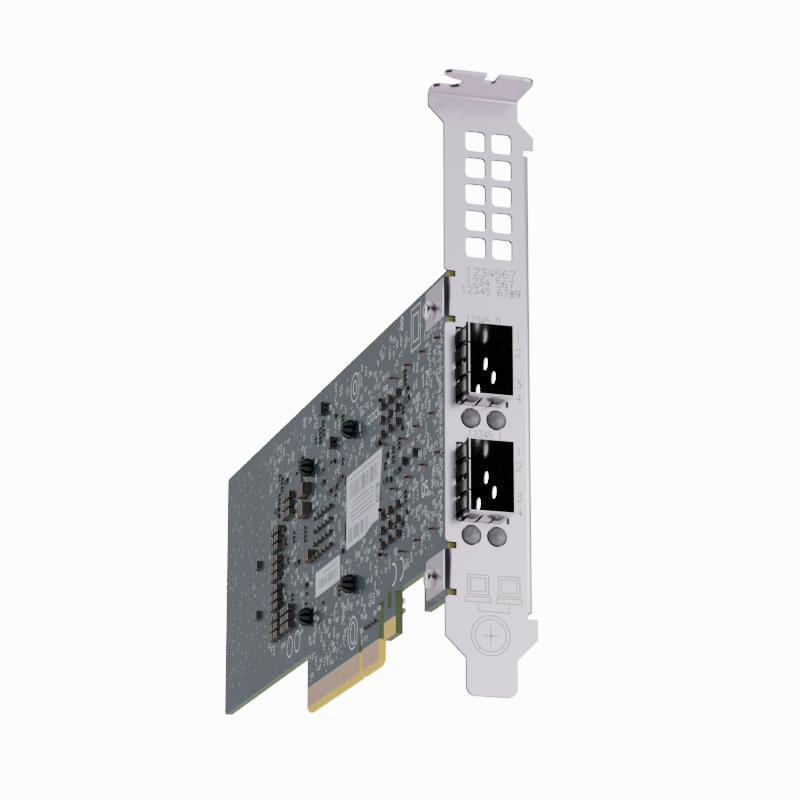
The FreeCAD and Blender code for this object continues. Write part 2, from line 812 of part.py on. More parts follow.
def make_cage(index):
    """Folded steel cage of one port, with latch tongue, air holes and press-in pins."""
    cage = Piece(f"port_cage_{index}", port_x, face_y, port_heights[index])
    half = s.cage_across / 2
    floor = s.cage_tall / -2
    far = s.cage_long - s.cage_out
    shell = cage.draw("XZ", s.cage_out)
    shell.rectangle(floor, -half, s.cage_tall, s.cage_across, s.cage_corner)
    inside = (floor + s.cage_wall, s.cage_wall - half)
    across = s.cage_tall - s.cage_wall * 2
    up = s.cage_across - s.cage_wall * 2
    shell.rectangle(*inside, across, up)
    cage.pad(shell, s.cage_long, back=True)
    rear = cage.draw("XZ", -far)
    rear.rectangle(*inside, across, up)
    cage.pad(rear, s.cage_wall)

    bottom = cage.draw("YZ", floor - s.cage_wall)
    opening_near = s.host_near - s.cage_opening_margin
    opening_long = far - s.cage_opening_margin - opening_near
    bottom.rectangle(opening_near, s.cage_opening / -2, opening_long, s.cage_opening)
    for side in (-1, 1):
        edge = s.latch_half * side - s.latch_slit / 2
        bottom.rectangle(-s.cage_out - s.latch_slit, edge, s.latch_long, s.latch_slit)
    catch = s.latch_hole_from_rim - s.cage_out
    bottom.loop([
        (catch, -s.latch_hole_half),
        (catch + s.latch_hole_long, 0),
        (catch, s.latch_hole_half),
    ])
    cage.cut(bottom, s.cage_wall * 2, back=True)

    lid_holes = cage.draw("YZ")
    for column in range(SIZES["cage_hole_columns"]):
        lid_holes.circle(s.cage_hole_first + s.cage_hole_step * column, 0, s.cage_hole)
    for side in (-1, 1):
        second = s.cage_hole_first + s.cage_hole_step / 2
        lid_holes.circle(second, s.cage_hole_shift * side, s.cage_hole)
    cage.cut(lid_holes, s.cage_tall, back=True)

    def pin_outline(drawing, middle):
        """A pin that stands on the board with its shoulders and goes through it."""
        top = floor + s.cage_corner
        seat = parts_x - port_x
        end = seat - s.board_thick - s.pin_out
        wide, slim = s.pin_shoulder / 2, s.pin_across / 2
        corners = [(top, wide), (top, -wide), (seat, -wide), (seat, -slim)]
        corners += [(end, -slim), (end, slim), (seat, slim), (seat, wide)]
        corners = [(x, middle + offset) for x, offset in corners]
        drawing.loop(corners)
        return drawing

    for plane_z, first, count in (
        (half - s.cage_wall, s.pin_first, s.pins_upper),
        (-half, s.pin_first + s.pin_stagger, s.pins_lower),
    ):
        pin = cage.pad(pin_outline(cage.draw("XY", plane_z), first), s.cage_wall)
        cage.row([pin], "Y", s.pin_step, count)
    for side in (-1, 1):
        cage.pad(pin_outline(cage.draw("XZ", -far), s.rear_pin_half * side), s.cage_wall)
    return cage


def make_collar(index):
    """Thin spring collar that bridges the gap between a cage and the bracket's opening."""
    collar = Piece(f"spring_collar_{index}", port_x, face_y, port_heights[index])
    sides = (
        ("XY", s.cage_tall / 2, s.port_opening_tall / 2, s.fingers_long, s.finger_pitch_long, "Z"),
        ("YZ", s.cage_across / 2, s.port_opening_across / 2, s.fingers_short, s.finger_pitch_short, "X"),
    )
    skin = s.collar_sheet
    for start, band in ((-s.collar_front, s.collar_band), (s.collar_back - s.collar_band, s.collar_band)):
        ring = collar.draw("XZ", -start)
        for reach in (skin, 0):
            x, z = s.cage_tall / 2 + reach, s.cage_across / 2 + reach
            ring.rectangle(-x, -z, x * 2, z * 2)
        collar.pad(ring, band, back=True)
    for plane, wall, rim, count, pitch, axis in sides:
        crest = rim - s.finger_gap
        near, far = s.collar_band - s.collar_front, s.collar_back - s.collar_band
        rise = crest - wall - skin
        path = [(near, wall), (-s.sheet, wall + rise), (s.finger_crest_far, wall + rise), (far, wall)]
        inside = [(y, out) for y, out in path]
        outside = [(y, out + skin) for y, out in reversed(path)]
        start = pitch * (count - 1) / -2 - s.finger_across / 2
        for side in (-1, 1):
            corners = [(y, out * side) for y, out in inside + outside]
            if plane == "XY":
                corners = [(out, y) for y, out in corners]
            finger_plan = collar.draw(plane, start)
            finger_plan.loop(corners)
            finger = collar.pad(finger_plan, s.finger_across)
            collar.row([finger], axis, pitch, count)
    return collar


def make_host(index):
    """Moulded card-edge socket inside the rear of a cage."""
    host = Piece(f"host_connector_{index}", parts_x, face_y + s.host_near, port_heights[index])
    body = host.draw("XY", s.host_across / -2)
    body.rectangle(0, 0, s.host_tall, s.host_deep)
    host.pad(body, s.host_across)
    slot = host.draw("XY", s.host_slot_across / -2)
    slot.rectangle(s.host_slot_lift, 0, s.host_slot_tall, s.host_slot_deep)
    host.cut(slot, s.host_slot_across, back=True)
    return host


def make_host_pins():
    """Solder feet at the front and back of both host connectors."""
    pins = Piece("host_contacts", parts_x, face_y + s.host_near, port_heights[0])
    pads = []
    for y in (-s.host_pin_long, s.host_deep):
        feet = pins.draw("YZ")
        first = s.host_pin_pitch * (s.host_pins - 1) / -2 - s.host_pin_across / 2
        feet.rectangle(y, first, s.host_pin_long, s.host_pin_across)
        pads.append(pins.pad(feet, s.host_pin_thick))
    pins.grid(pads, ("Z", s.host_pin_pitch, s.host_pins), ("Z", s.port_pitch, Size(2, "2")))
    return pins


def make_light_pipe(index):
    """Clear moulding that carries light from two lamps on the board to the bracket's face."""
    pipe = Piece(f"light_pipe_{index}", left_x, face_y, pipe_heights()[index])
    board_face = s.sheet + s.board_thick
    lamp_top = board_face + s.lamp_tall + s.lamp_gap
    half = s.pipe_stem / 2
    for step in (0, 1):
        x = s.pipe_low_x + s.pipe_step_x * step
        far = s.pipe_far + s.pipe_far_step * step
        tip = pipe.draw("XZ", s.pipe_proud)
        tip.circle(x, 0, s.pipe_radius)
        pipe.pad(tip, s.pipe_collar_far + s.pipe_proud, back=True)
        stem = pipe.draw("XY", -half)
        stem.loop([
            (x - half, s.pipe_collar_far),
            (x + half, s.pipe_collar_far),
            (x + half, far - half),
            (x - half, far + half),
            (lamp_top, far + half),
            (lamp_top, far - half),
            (x - half, far - half),
        ])
        pipe.pad(stem, s.pipe_stem)
    web = pipe.draw("XY", s.pipe_web / -2)
    web_top = s.pipe_low_x + s.pipe_step_x
    web.rectangle(board_face, s.pipe_web_near, web_top - board_face, s.pipe_web_far - s.pipe_web_near)
    pipe.pad(web, s.pipe_web)
    return pipe


def make_lamps():
    """Four small lamps on the board, one under each leg of the light pipes."""
    lamps = Piece("status_lamps", parts_x, face_y, 0)
    plan = lamps.draw("YZ")
    for z in pipe_heights():
        for step in (0, 1):
            y = s.pipe_far + s.pipe_far_step * step
            plan.rectangle(y - s.lamp_long / 2, z - s.lamp_across / 2, s.lamp_long, s.lamp_across)
    lamps.pad(plan, s.lamp_tall)
    return lamps


def centred(drawing, side):
    return drawing.rectangle(side / -2, side / -2, side, side)


def make_controller():
    """Network controller: square package with a raised metal lid."""
    chip = Piece("controller_chip", parts_x, face_y + s.sink_y, s.sink_z)
    chip.pad(centred(chip.draw("YZ"), s.chip_side), s.chip_base)
    chip.pad(centred(chip.draw("YZ", s.chip_base), s.lid_side), s.lid_tall)
    pad = Piece("thermal_pad", parts_x + s.chip_base + s.lid_tall, face_y + s.sink_y, s.sink_z)
    pad.pad(centred(pad.draw("YZ"), s.pad_side), s.pad_thick)
    return chip


def make_heat_sink():
    """Extruded heat sink with its fins cut back round the four spring pins."""
    sink = Piece("heat_sink", parts_x + sink_seat, face_y + s.sink_y, s.sink_z)
    base = sink.draw("XZ", s.sink_long / 2)
    base.rectangle(0, s.sink_tall / -2, s.sink_base, s.sink_tall)
    sink.pad(base, s.sink_long, back=True)
    fin = sink.draw("XZ", s.sink_long / 2)
    fin.rectangle(s.sink_base, s.sink_tall / -2, s.fin_out, s.fin_thick)
    step = (s.sink_tall - s.fin_thick) / (s.fins - 1)
    sink.row([sink.pad(fin, s.sink_long, back=True)], "Z", step, s.fins)
    clear = sink.draw("YZ", s.sink_base)
    holes = sink.draw("YZ")
    half = s.sink_pin_clear / 2
    for y, z in sink_pins():
        clear.rectangle(y - half, z - half, s.sink_pin_clear, s.sink_pin_clear)
        holes.rectangle(y - leg_hole / 2, z - leg_hole / 2, leg_hole, leg_hole)
    sink.cut(clear, s.fin_out, back=True)
    sink.cut(holes, s.sink_base, back=True)
    return sink


def sink_pins():
    """Places of the four spring pins about the middle of the heat sink."""
    signs = ((-1, -1), (-1, 1), (1, -1), (1, 1))
    return [(s.sink_pin_step_y / 2 * across, s.sink_pin_step_z / 2 * up) for across, up in signs]


sink_seat = s.chip_base + s.lid_tall + s.pad_thick


def make_push_pins():
    """Round-headed plastic pins; four arrow barbs on a crossed leg snap behind the board."""
    first_y = face_y + s.sink_y - s.sink_pin_step_y / 2
    first_z = s.sink_z - s.sink_pin_step_z / 2
    pins = Piece("push_pins", parts_x, first_y, first_z)
    under_head = sink_seat + s.sink_base + s.push_tall
    shoulder = -s.board_thick - s.push_pin_slack
    tip = shoulder - s.push_barb_tall
    half = s.push_leg / 2
    barb = half + s.push_barb_out
    outline = [
        (under_head, -half),
        (under_head, half),
        (shoulder, half),
        (shoulder, barb),
        (tip, s.push_barb_tip),
        (tip, -s.push_barb_tip),
        (shoulder, -barb),
        (shoulder, -half),
    ]
    flat = pins.pad(pins.draw("XY", s.push_plate / -2).loop(outline), s.push_plate)
    upright = pins.pad(pins.draw("XZ", s.push_plate / 2).loop(outline), s.push_plate, back=True)
    head = pins.draw("YZ", under_head)
    head.circle(0, 0, s.push_head_radius)
    cap = pins.pad(head, s.push_head_tall)
    pins.grid([flat, upright, cap], ("Y", s.sink_pin_step_y, Size(2, "2")), ("Z", s.sink_pin_step_z, Size(2, "2")))
    return pins


def component_place(name):
    """Middle of a family's first body: (y, z) from the bracket's face and tip."""
    words = COMPONENTS[name]
    if "beside" not in words:
        return getattr(s, f"{name}_y"), getattr(s, f"{name}_z")
    neighbour = words["beside"]
    y, z = component_place(neighbour)
    reach = (getattr(s, f"{neighbour}_long") + getattr(s, f"{name}_long")) / 2
    return y + reach + getattr(s, f"{name}_gap"), z


def make_components(name, words):
    """One family of like components, soldered flat on one side of the board."""
    size = {word: getattr(s, f"{name}_{word}") for word in words if word != "beside"}
    seat = parts_x if words["side"] > 0 else solder_x - size["tall"]
    y, z = component_place(name)
    group = Piece(name, seat, face_y + y, z - s.tip_drop)
    plan = group.draw("YZ")
    plan.rectangle(size["long"] / -2, size["across"] / -2, size["long"], size["across"])
    body = group.pad(plan, size["tall"])
    patterns = (("Y", "step_y", "columns"), ("Z", "step_z", "rows"), ("Z", "again_z", "again"))
    rows = [(axis, size[step], size[count]) for axis, step, count in patterns if step in size]
    if rows:
        group.grid([body], *rows)
    return group


def make_labels():
    """Two paper labels stuck on the solder side."""
    label_x = solder_x - s.label_thick
    product = Piece("product_label", label_x, face_y, -s.tip_drop)
    sheet_plan = product.draw("YZ")
    sheet_plan.loop([
        (s.label_near, s.label_top),
        (s.label_narrow, s.label_notch),
        (s.label_bend_near, s.label_notch),
        (s.label_bend_far, s.label_low),
        (s.label_far, s.label_low),
        (s.label_far, s.label_top),
    ])
    product.pad(sheet_plan, s.label_thick)
    small = Piece("number_label", label_x, face_y, -s.tip_drop)
    strip = small.draw("YZ")
    strip.rectangle(s.small_label_near, s.small_label_low, s.small_label_long, s.small_label_tall)
    small.pad(strip, s.label_thick)
    return product, small


def make_card():
    """Every piece of the card, in the order in which it would be put together."""
    make_board()
    make_contacts()
    make_bracket()
    make_screws()
    make_nuts()
    for port in (0, 1):
        make_cage(port)
        make_collar(port)
        make_host(port)
        make_light_pipe(port)
    make_host_pins()
    make_lamps()
    make_controller()
    make_heat_sink()
    make_push_pins()
    for name, words in COMPONENTS.items():
        make_components(name, words)
    make_labels()


def export_card():
    """Check every object, then write one STEP file per piece."""
    for item in doc.Objects:
        faults = {"Invalid", "Error"} & set(item.State)
        if faults:
            raise RuntimeError(f"{item.Label} is in state {faults}")
    for piece in finished:
        if piece.Shape.isNull() or not piece.Shape.isValid():
            raise RuntimeError(f"{piece.Label} has no valid shape")
    os.makedirs("parts", exist_ok=True)
    for piece in finished:
        piece.Shape.exportStep(f"parts/{piece.Label}.step")


make_card()
doc.recompute()
export_card()
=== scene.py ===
import math
import random

import bmesh
import bpy
from mathutils import Matrix, Vector


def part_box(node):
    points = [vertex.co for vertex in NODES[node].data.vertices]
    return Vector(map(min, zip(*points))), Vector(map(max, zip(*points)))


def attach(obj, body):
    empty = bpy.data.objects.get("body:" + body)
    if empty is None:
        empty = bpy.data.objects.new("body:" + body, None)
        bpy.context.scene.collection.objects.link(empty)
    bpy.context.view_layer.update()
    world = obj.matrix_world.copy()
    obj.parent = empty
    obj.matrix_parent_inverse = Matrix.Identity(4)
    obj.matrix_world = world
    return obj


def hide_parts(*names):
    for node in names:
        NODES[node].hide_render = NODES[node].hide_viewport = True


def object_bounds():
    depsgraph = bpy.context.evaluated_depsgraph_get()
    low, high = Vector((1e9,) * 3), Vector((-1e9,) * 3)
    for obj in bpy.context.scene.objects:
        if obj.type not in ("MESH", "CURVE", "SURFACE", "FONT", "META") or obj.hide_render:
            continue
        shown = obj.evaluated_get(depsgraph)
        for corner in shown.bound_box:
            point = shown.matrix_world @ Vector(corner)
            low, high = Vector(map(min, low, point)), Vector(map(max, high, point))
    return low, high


bl_info = {
    "name": "Network interface card",
    "version": (1, 0, 0),
    "blender": (4, 5, 0),
    "location": "View3D > Sidebar > Card",
    "description": "Finishes and fine parts of a two-port network interface card",
    "category": "Object",
}

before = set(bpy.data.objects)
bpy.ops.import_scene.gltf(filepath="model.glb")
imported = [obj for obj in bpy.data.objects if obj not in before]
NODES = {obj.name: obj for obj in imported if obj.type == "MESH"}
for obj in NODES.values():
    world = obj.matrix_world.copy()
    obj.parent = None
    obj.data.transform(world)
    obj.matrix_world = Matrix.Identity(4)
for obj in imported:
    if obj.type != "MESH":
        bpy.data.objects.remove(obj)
CAD_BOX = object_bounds()
MM = 0.001


def low_high(box):
    """The two corners of a box as vectors."""
    return [Vector(corner) for corner in box]


BOARD_LOW, BOARD_HIGH = low_high(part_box("circuit_board"))
BRACKET_LOW, BRACKET_HIGH = low_high(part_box("bracket"))
MIDDLE = (Vector(CAD_BOX[0]) + Vector(CAD_BOX[1])) / 2
SOLDER_X = BOARD_LOW.x
PARTS_X = BOARD_HIGH.x
FACE_Y = BOARD_LOW.y - 1.3 * MM
BACK_Y = FACE_Y + 0.90 * MM
FACE_ACROSS = 18.42
PORTS = (0, 1)
CORNERS = ((-1, -1), (1, -1), (1, 1), (-1, 1))
PIN_CAP = 0.7 * MM
SCREW_SEAT = BRACKET_LOW.x + 3.18 * MM

# How far printed and plated faces stand off the surface below them, in millimetres
VIA_LIFT, FLUX_LIFT, PRINT_LIFT, LABEL_LIFT = 0.012, 0.015, 0.02, 0.112
SHADOW_LIFT, GLINT_LIFT = 0.016, 0.010

# Nodes by the side of the board that carries them, and by kind
PARTS_SIDE = (
    "flash_memory", "management_chip", "power_regulators", "host_side_chips", "power_inductors",
    "tantalum_capacitors", "crystal",
)
SOLDERED = (
    "port_capacitors", "edge_capacitors", "core_capacitors", "output_capacitors", "input_capacitors",
    "bulk_capacitors", "bypass_capacitors", "filter_beads", "solder_side_chips", "clamp_diodes",
    "signal_filter",
)
CHIPS = PARTS_SIDE[:4] + SOLDERED[-3:]
CERAMICS = SOLDERED[:5] + ("hook_capacitor",)
TANTALUMS = ("tantalum_capacitors", "bulk_capacitors", "bypass_capacitors")

# Areas in millimetres, as (y, z, y, z): y from the bracket's face, z from its tip
SOLDER_AREAS = ((4, 32, 164, 81), (44, 25, 100, 32), (52, 21, 98, 25), (6, 30, 34, 32))
PARTS_AREAS = ((14, 34, 164, 81), (48, 25, 100, 34))
SOLDER_ROWS = ((25, 38, 45, 68), (25, 38, 45, 68), (68, 34, 100, 74), (98, 36, 124, 72))
PARTS_ROWS = ((46, 36, 57, 78), (103, 36, 123, 78), (60, 32, 100, 36))
MARKED = (
    (0, 76, 14, 90), (0, 0, 14, 32), (16, 73, 25, 83), (43.5, 65.5, 55, 69), (103.5, 29.5, 114.5, 34.5),
    (60, 21, 68, 29), (59.8, 73.8, 66.2, 80.2), (28.5, 28.5, 37, 33.5),
)
BIG_NUMBERS = ((14, 42, "05"), (14, 64, "17"), (24, 57, "21"), (28, 80, "8"))

# Numerals as single lines on a grid 16 wide and 28 tall, and the step from one to the next
TALL, ADVANCE = 28, 23
NUMERALS = {
    "0": ((0, 4), (0, 24), (4, 28), (12, 28), (16, 24), (16, 4), (12, 0), (4, 0), (0, 4)),
    "1": ((2, 22), (8, 28), (8, 0)),
    "2": ((0, 23), (4, 28), (12, 28), (16, 23), (16, 18), (0, 0), (16, 0)),
    "3": ((0, 28), (16, 28), (8, 17), (16, 12), (16, 4), (12, 0), (4, 0), (0, 4)),
    "4": ((12, 0), (12, 28), (0, 9), (17, 9)),
    "5": ((15, 28), (1, 28), (0, 16), (10, 17), (16, 12), (16, 4), (12, 0), (0, 0)),
    "6": ((14, 28), (6, 28), (0, 20), (0, 4), (4, 0), (12, 0), (16, 4), (16, 12), (12, 16), (0, 15)),
    "7": ((0, 28), (16, 28), (6, 0)),
    "8": ((8, 15), (0, 20), (4, 28), (12, 28), (16, 20), (0, 8), (4, 0), (12, 0), (16, 8), (8, 15)),
    "9": ((2, 0), (10, 0), (16, 8), (16, 24), (12, 28), (4, 28), (0, 24), (0, 16), (4, 12), (16, 13)),
}

# Panels of light or shade round the card: direction, inner and outer angle in degrees, added strength
SOFT_PANELS = (
    ((0.60, -0.75, -0.30), 30.0, 56.0, 1.78),
    ((-0.78, -0.55, 0.28), 47.0, 62.0, -0.45),
    ((0.0, 0.0, 1.0), 20.0, 70.0, 1.0),
)


def colour(name, red, green, blue):
    """A colour property with its default in linear light."""
    return bpy.props.FloatVectorProperty(
        name=name, description=f"{name} of this finish", subtype="COLOR", size=3,
        min=0.0, max=1.0, default=(red, green, blue),
    )


def length(name, description, millimetres):
    return bpy.props.FloatProperty(
        name=name, description=description, unit="LENGTH", subtype="DISTANCE", default=millimetres * MM,
    )


def count(name, description, number):
    return bpy.props.IntProperty(name=name, description=description, default=number, min=0)


def power(name, description, watts):
    return bpy.props.FloatProperty(name=name, description=description, unit="POWER", default=watts)


def number(name, description, value, least):
    return bpy.props.FloatProperty(name=name, description=description, default=value, min=least)


class CardBoardSettings(bpy.types.PropertyGroup):
    mask: colour("Solder mask", 0.022, 0.040, 0.062)
    mask_dark: colour("Solder mask over bare laminate", 0.007, 0.030, 0.034)
    laminate: colour("Cut laminate", 0.11, 0.17, 0.05)
    # Lighter laminate for the front edges seen through the bracket's slots: painted light, as those edges lie
    # in shade.
    ears: colour("Laminate behind the bracket's slots", 0.36, 0.38, 0.09)
    bare: colour("Bare laminate between the contacts", 0.66, 0.49, 0.33)
    legend: colour("Printed legend", 0.78, 0.84, 0.86)
    gold: colour("Gold plating", 0.80, 0.56, 0.40)
    hook: colour("Gold on the retaining hook", 1.0, 0.66, 0.01)
    trace_step: length("Trace spacing", "Distance from one printed trace to the next", 0.9)
    numbers: count("Printed numbers", "How many small numbers are printed on the solder side", 430)
    vias: count("Vias", "Plated holes for each square centimetre of board", 9)


class CardBracketSettings(bpy.types.PropertyGroup):
    nickel: colour("Nickel plating", 0.77, 0.64, 0.79)
    # Colour of the sheet's cut faces: partly duller sheared steel, partly painted shade.
    cut: colour("Cut edge of the sheet", 0.10, 0.09, 0.11)
    stamp_width: length("Stamped line width", "Width of a line stamped in the bracket", 0.28)
    recess_deep: length("Screw recess", "Depth of the cross recess in a screw head", 0.9)


class CardPortSettings(bpy.types.PropertyGroup):
    cage: colour("Cage steel", 0.62, 0.61, 0.62)
    guide: colour("Light guide", 0.030, 0.027, 0.032)
    lens: colour("Tip of the light guide", 0.160, 0.146, 0.165)
    ring_step: length("Lens ring step", "Distance between the rings in a light guide's tip", 0.42)


class CardCoolingSettings(bpy.types.PropertyGroup):
    aluminium: colour("Anodised aluminium", 0.55, 0.56, 0.58)
    nylon: colour("Pin nylon", 0.018, 0.018, 0.018)
    wire: length("Spring wire", "Thickness of the spring wire on the sink's pins", 0.4)
    turns: number("Spring turns", "Turns of each spring", 3.5, 1.0)


class CardPartsSettings(bpy.types.PropertyGroup):
    ceramic: colour("Fired ceramic", 0.028, 0.022, 0.019)
    tin: colour("Tinned ends", 0.25, 0.22, 0.195)
    epoxy: colour("Chip epoxy", 0.016, 0.016, 0.018)
    tantalum: colour("Tantalum case", 0.090, 0.040, 0.016)
    lead_step: length("Lead step", "Distance from one chip lead to the next", 0.8)


class CardStageSettings(bpy.types.PropertyGroup):
    floor_drop: length("Floor drop", "How far the floor lies below the card", 320.0)
    lens: number("Lens", "Focal length of the camera", 164.6, 20.0)
    backdrop: colour("Backdrop", 1.0, 1.0, 1.0)
    glow: colour("Glow of the room", 0.95, 0.975, 1.0)
    key_power: power("Key light", "Power of the large front light", 5.0)
    fill_power: power("Fill light", "Power of the light on the solder side", 4.2)


# Nodes


def feed(tree, sockets, values):
    """Set each named socket to a value, or link another socket to it."""
    for name, value in values.items():
        if isinstance(value, bpy.types.NodeSocket):
            tree.links.new(value, sockets[name])
        else:
            sockets[name].default_value = value


def add(tree, kind, inputs=None, **settings):
    """A node with its settings; inputs maps a socket's name or index to a value or to another socket."""
    node = tree.nodes.new(kind)
    for name, value in settings.items():
        setattr(node, name, value)
    feed(tree, node.inputs, inputs or {})
    return node


def new_group(kind, name, inputs, outputs):
    """A node group with its sockets; gives the tree, what enters it and what leaves it."""
    tree = bpy.data.node_groups.new(name, f"{kind}NodeTree")
    for way, rows in (("INPUT", inputs), ("OUTPUT", outputs)):
        for label, carries, *default in rows:
            socket = tree.interface.new_socket(name=label, in_out=way, socket_type=f"NodeSocket{carries}")
            if default:
                socket.default_value = default[0]
    return tree, tree.nodes.new("NodeGroupInput").outputs, tree.nodes.new("NodeGroupOutput").inputs


def calc(tree, operation, *values):
    return add(tree, "ShaderNodeMath", dict(enumerate(values)), operation=operation).outputs[0]


def vector(tree, operation, *values):
    return add(tree, "ShaderNodeVectorMath", dict(enumerate(values)), operation=operation).outputs


def blend(tree, factor, first, second):
    return add(tree, "ShaderNodeMix", {0: factor, 6: first, 7: second}, data_type="RGBA").outputs[2]


def noise(tree, place, size, detail):
    return add(tree, "ShaderNodeTexNoise", {"Vector": place, "Scale": size, "Detail": detail}).outputs[0]


def within(tree, value, low, high):
    """1 where the value lies between low and high, else 0."""
    above, below = calc(tree, "GREATER_THAN", value, low), calc(tree, "LESS_THAN", value, high)
    return calc(tree, "MULTIPLY", above, below)


# Shader node groups


def grain_group():
    """Two scales of noise: an even colour drift and a fine height for moulded or plated surfaces."""
    tree, enter, leave = new_group(
        "Shader", "Surface grain",
        [("Place", "Vector"), ("Size", "Float", 1500.0), ("Drift size", "Float", 60.0),
         ("First", "Color", (1, 1, 1, 1)), ("Second", "Color", (0, 0, 0, 1))],
        [("Colour", "Color"), ("Height", "Float"), ("Drift", "Float")],
    )
    wide = noise(tree, enter["Place"], enter["Drift size"], 4.0)
    drift = add(tree, "ShaderNodeMapRange", {0: wide, 1: 0.35, 2: 0.65}).outputs[0]
    feed(tree, leave, {
        "Colour": blend(tree, drift, enter["First"], enter["Second"]),
        "Height": noise(tree, enter["Place"], enter["Size"], 3.0),
        "Drift": drift,
    })
    return tree


def rolled_group():
    """Fine parallel lines, stretched along one direction, as rolled or brushed metal has."""
    tree, enter, leave = new_group(
        "Shader", "Rolled metal",
        [("Place", "Vector"), ("Stretch", "Vector", (4000.0, 4000.0, 60.0)),
         ("First", "Color", (1, 1, 1, 1)), ("Second", "Color", (0, 0, 0, 1)), ("Amount", "Float", 0.5)],
        [("Colour", "Color"), ("Height", "Float")],
    )
    lines = noise(tree, vector(tree, "MULTIPLY", enter["Place"], enter["Stretch"])[0], 1.0, 2.0)
    share = calc(tree, "MULTIPLY", lines, enter["Amount"])
    feed(tree, leave, {"Colour": blend(tree, share, enter["First"], enter["Second"]), "Height": lines})
    return tree


def trace_group():
    """Parallel printed traces that run along one axis in patches, as a mask from 0 to 1."""
    tree, enter, leave = new_group(
        "Shader", "Printed traces",
        [("Place", "Vector"), ("Across", "Float", 0.0), ("Step", "Float", 0.0009), ("Share", "Float", 0.4),
         ("Patch", "Vector", (60.0, 60.0, 60.0)), ("Cover", "Float", 0.5)],
        [("Mask", "Float")],
    )
    turns = calc(tree, "DIVIDE", enter["Across"], enter["Step"])
    line = calc(tree, "LESS_THAN", calc(tree, "FRACT", turns), enter["Share"])
    lane = calc(tree, "MULTIPLY", calc(tree, "FLOOR", turns), 3.7)
    shift = add(tree, "ShaderNodeCombineXYZ", {0: lane}).outputs[0]
    seat = vector(tree, "ADD", vector(tree, "MULTIPLY", enter["Place"], enter["Patch"])[0], shift)[0]
    shown = calc(tree, "GREATER_THAN", noise(tree, seat, 1.0, 0.0), enter["Cover"])
    feed(tree, leave, {"Mask": calc(tree, "MULTIPLY", line, shown)})
    return tree


GROUPS = {"grain": grain_group(), "rolled": rolled_group(), "traces": trace_group()}


# Materials


def spaced(values):
    """Keywords with the spaces that sockets have in their names."""
    return {name.replace("_", " "): value for name, value in values.items()}


def four(rgb, share=1.0):
    return (rgb[0] * share, rgb[1] * share, rgb[2] * share, 1.0)


def grey(level):
    return four((level, level, level))


class Finish:
    """One material: its node tree, its Principled shader and the place of each point on the card."""

    def __init__(self, name, **values):
        self.material = bpy.data.materials.new(name)
        self.material.use_nodes = True
        self.tree = self.material.node_tree
        self.place = add(self.tree, "ShaderNodeTexCoord").outputs["Object"]
        self.look(**values)

    def look(self, **values):
        """Set or link inputs of the shader; gives the material."""
        feed(self.tree, self.tree.nodes["Principled BSDF"].inputs, spaced(values))
        return self.material

    def group(self, name, **values):
        inputs = {"Place": self.place, **spaced(values)}
        return add(self.tree, "ShaderNodeGroup", inputs, node_tree=GROUPS[name]).outputs

    def rolled(self, stretch, rgb, darker, **values):
        return self.group("rolled", Stretch=stretch, First=four(rgb), Second=four(rgb, darker), **values)

    def bump(self, height, depth, strength=0.3):
        """A normal from a height that is depth millimetres deep."""
        inputs = {"Height": height, "Distance": depth * MM, "Strength": strength}
        return add(self.tree, "ShaderNodeBump", inputs).outputs[0]

    def split(self):
        return add(self.tree, "ShaderNodeSeparateXYZ", {0: self.place}).outputs

    def even(self, look, guide, rough, spread, depth):
        """The colour and height of a group, with a roughness that drifts about its middle."""
        drift = {0: look[guide], 3: rough * (1 - spread), 4: rough * (1 + spread)}
        return self.look(
            Base_Color=look["Colour"], Roughness=add(self.tree, "ShaderNodeMapRange", drift).outputs[0],
            Normal=self.bump(look["Height"], depth),
        )

    def parted(self, mask, first, second, roughs, height, depth):
        """The first colour and roughness where the mask is 0, the second where it is 1."""
        return self.look(
            Base_Color=blend(self.tree, mask, first, second),
            Roughness=blend(self.tree, mask, grey(roughs[0]), grey(roughs[1])),
            Normal=self.bump(height, depth),
        )


def metal(name, rgb, rough=0.35, depth=0.004, stretch=(3000.0, 3000.0, 80.0), darker=0.8):
    finish = Finish(name, Metallic=1.0)
    return finish.even(finish.rolled(stretch, rgb, darker), "Height", rough, 0.2, depth)


def moulded(name, rgb, rough=0.5, depth=0.01, size=3000.0, second=1.3, **values):
    finish = Finish(name, **values)
    grain = finish.group("grain", Size=size, Drift_size=200.0, First=four(rgb), Second=four(rgb, second))
    return finish.even(grain, "Drift", rough, 0.15, depth)


def dress(material, *nodes):
    """Give nodes of the frame their material."""
    for node in nodes:
        mesh = NODES[node].data
        if not mesh.materials:
            mesh.materials.append(material)
        for index in range(len(mesh.materials)):
            mesh.materials[index] = material


# Meshes


def put(name, data):
    """A new object in the scene."""
    thing = bpy.data.objects.new(name, data)
    bpy.context.scene.collection.objects.link(thing)
    return thing


def settled(thing, *helpers):
    """The plain mesh that an object's modifiers give; the object and its helpers go."""
    mesh = bpy.data.meshes.new_from_object(thing.evaluated_get(bpy.context.evaluated_depsgraph_get()))
    thing.modifiers.clear()
    for done in (thing, *helpers):
        bpy.data.objects.remove(done)
    return mesh


def finish_mesh(name, shape, smooth=False, printed=False):
    """Turn a bmesh into a mesh with faces outward; printed faces already face their reader."""
    if not printed:
        bmesh.ops.remove_doubles(shape, verts=shape.verts, dist=1e-7)
        bmesh.ops.recalc_face_normals(shape, faces=shape.faces)
    for face in shape.faces:
        face.smooth = smooth
    mesh = bpy.data.meshes.new(name)
    shape.to_mesh(mesh)
    shape.free()
    return mesh


def piece(name, shape, *materials, slot, stands_for=(), smooth=False, printed=False):
    """A finished piece that rides with the card, from a mesh or a bmesh."""
    ready = isinstance(shape, bpy.types.Mesh)
    thing = put(name, shape if ready else finish_mesh(name, shape, smooth, printed))
    for material in materials:
        thing.data.materials.append(material)
    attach(thing, "root")
    if stands_for:
        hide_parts(*stands_for)


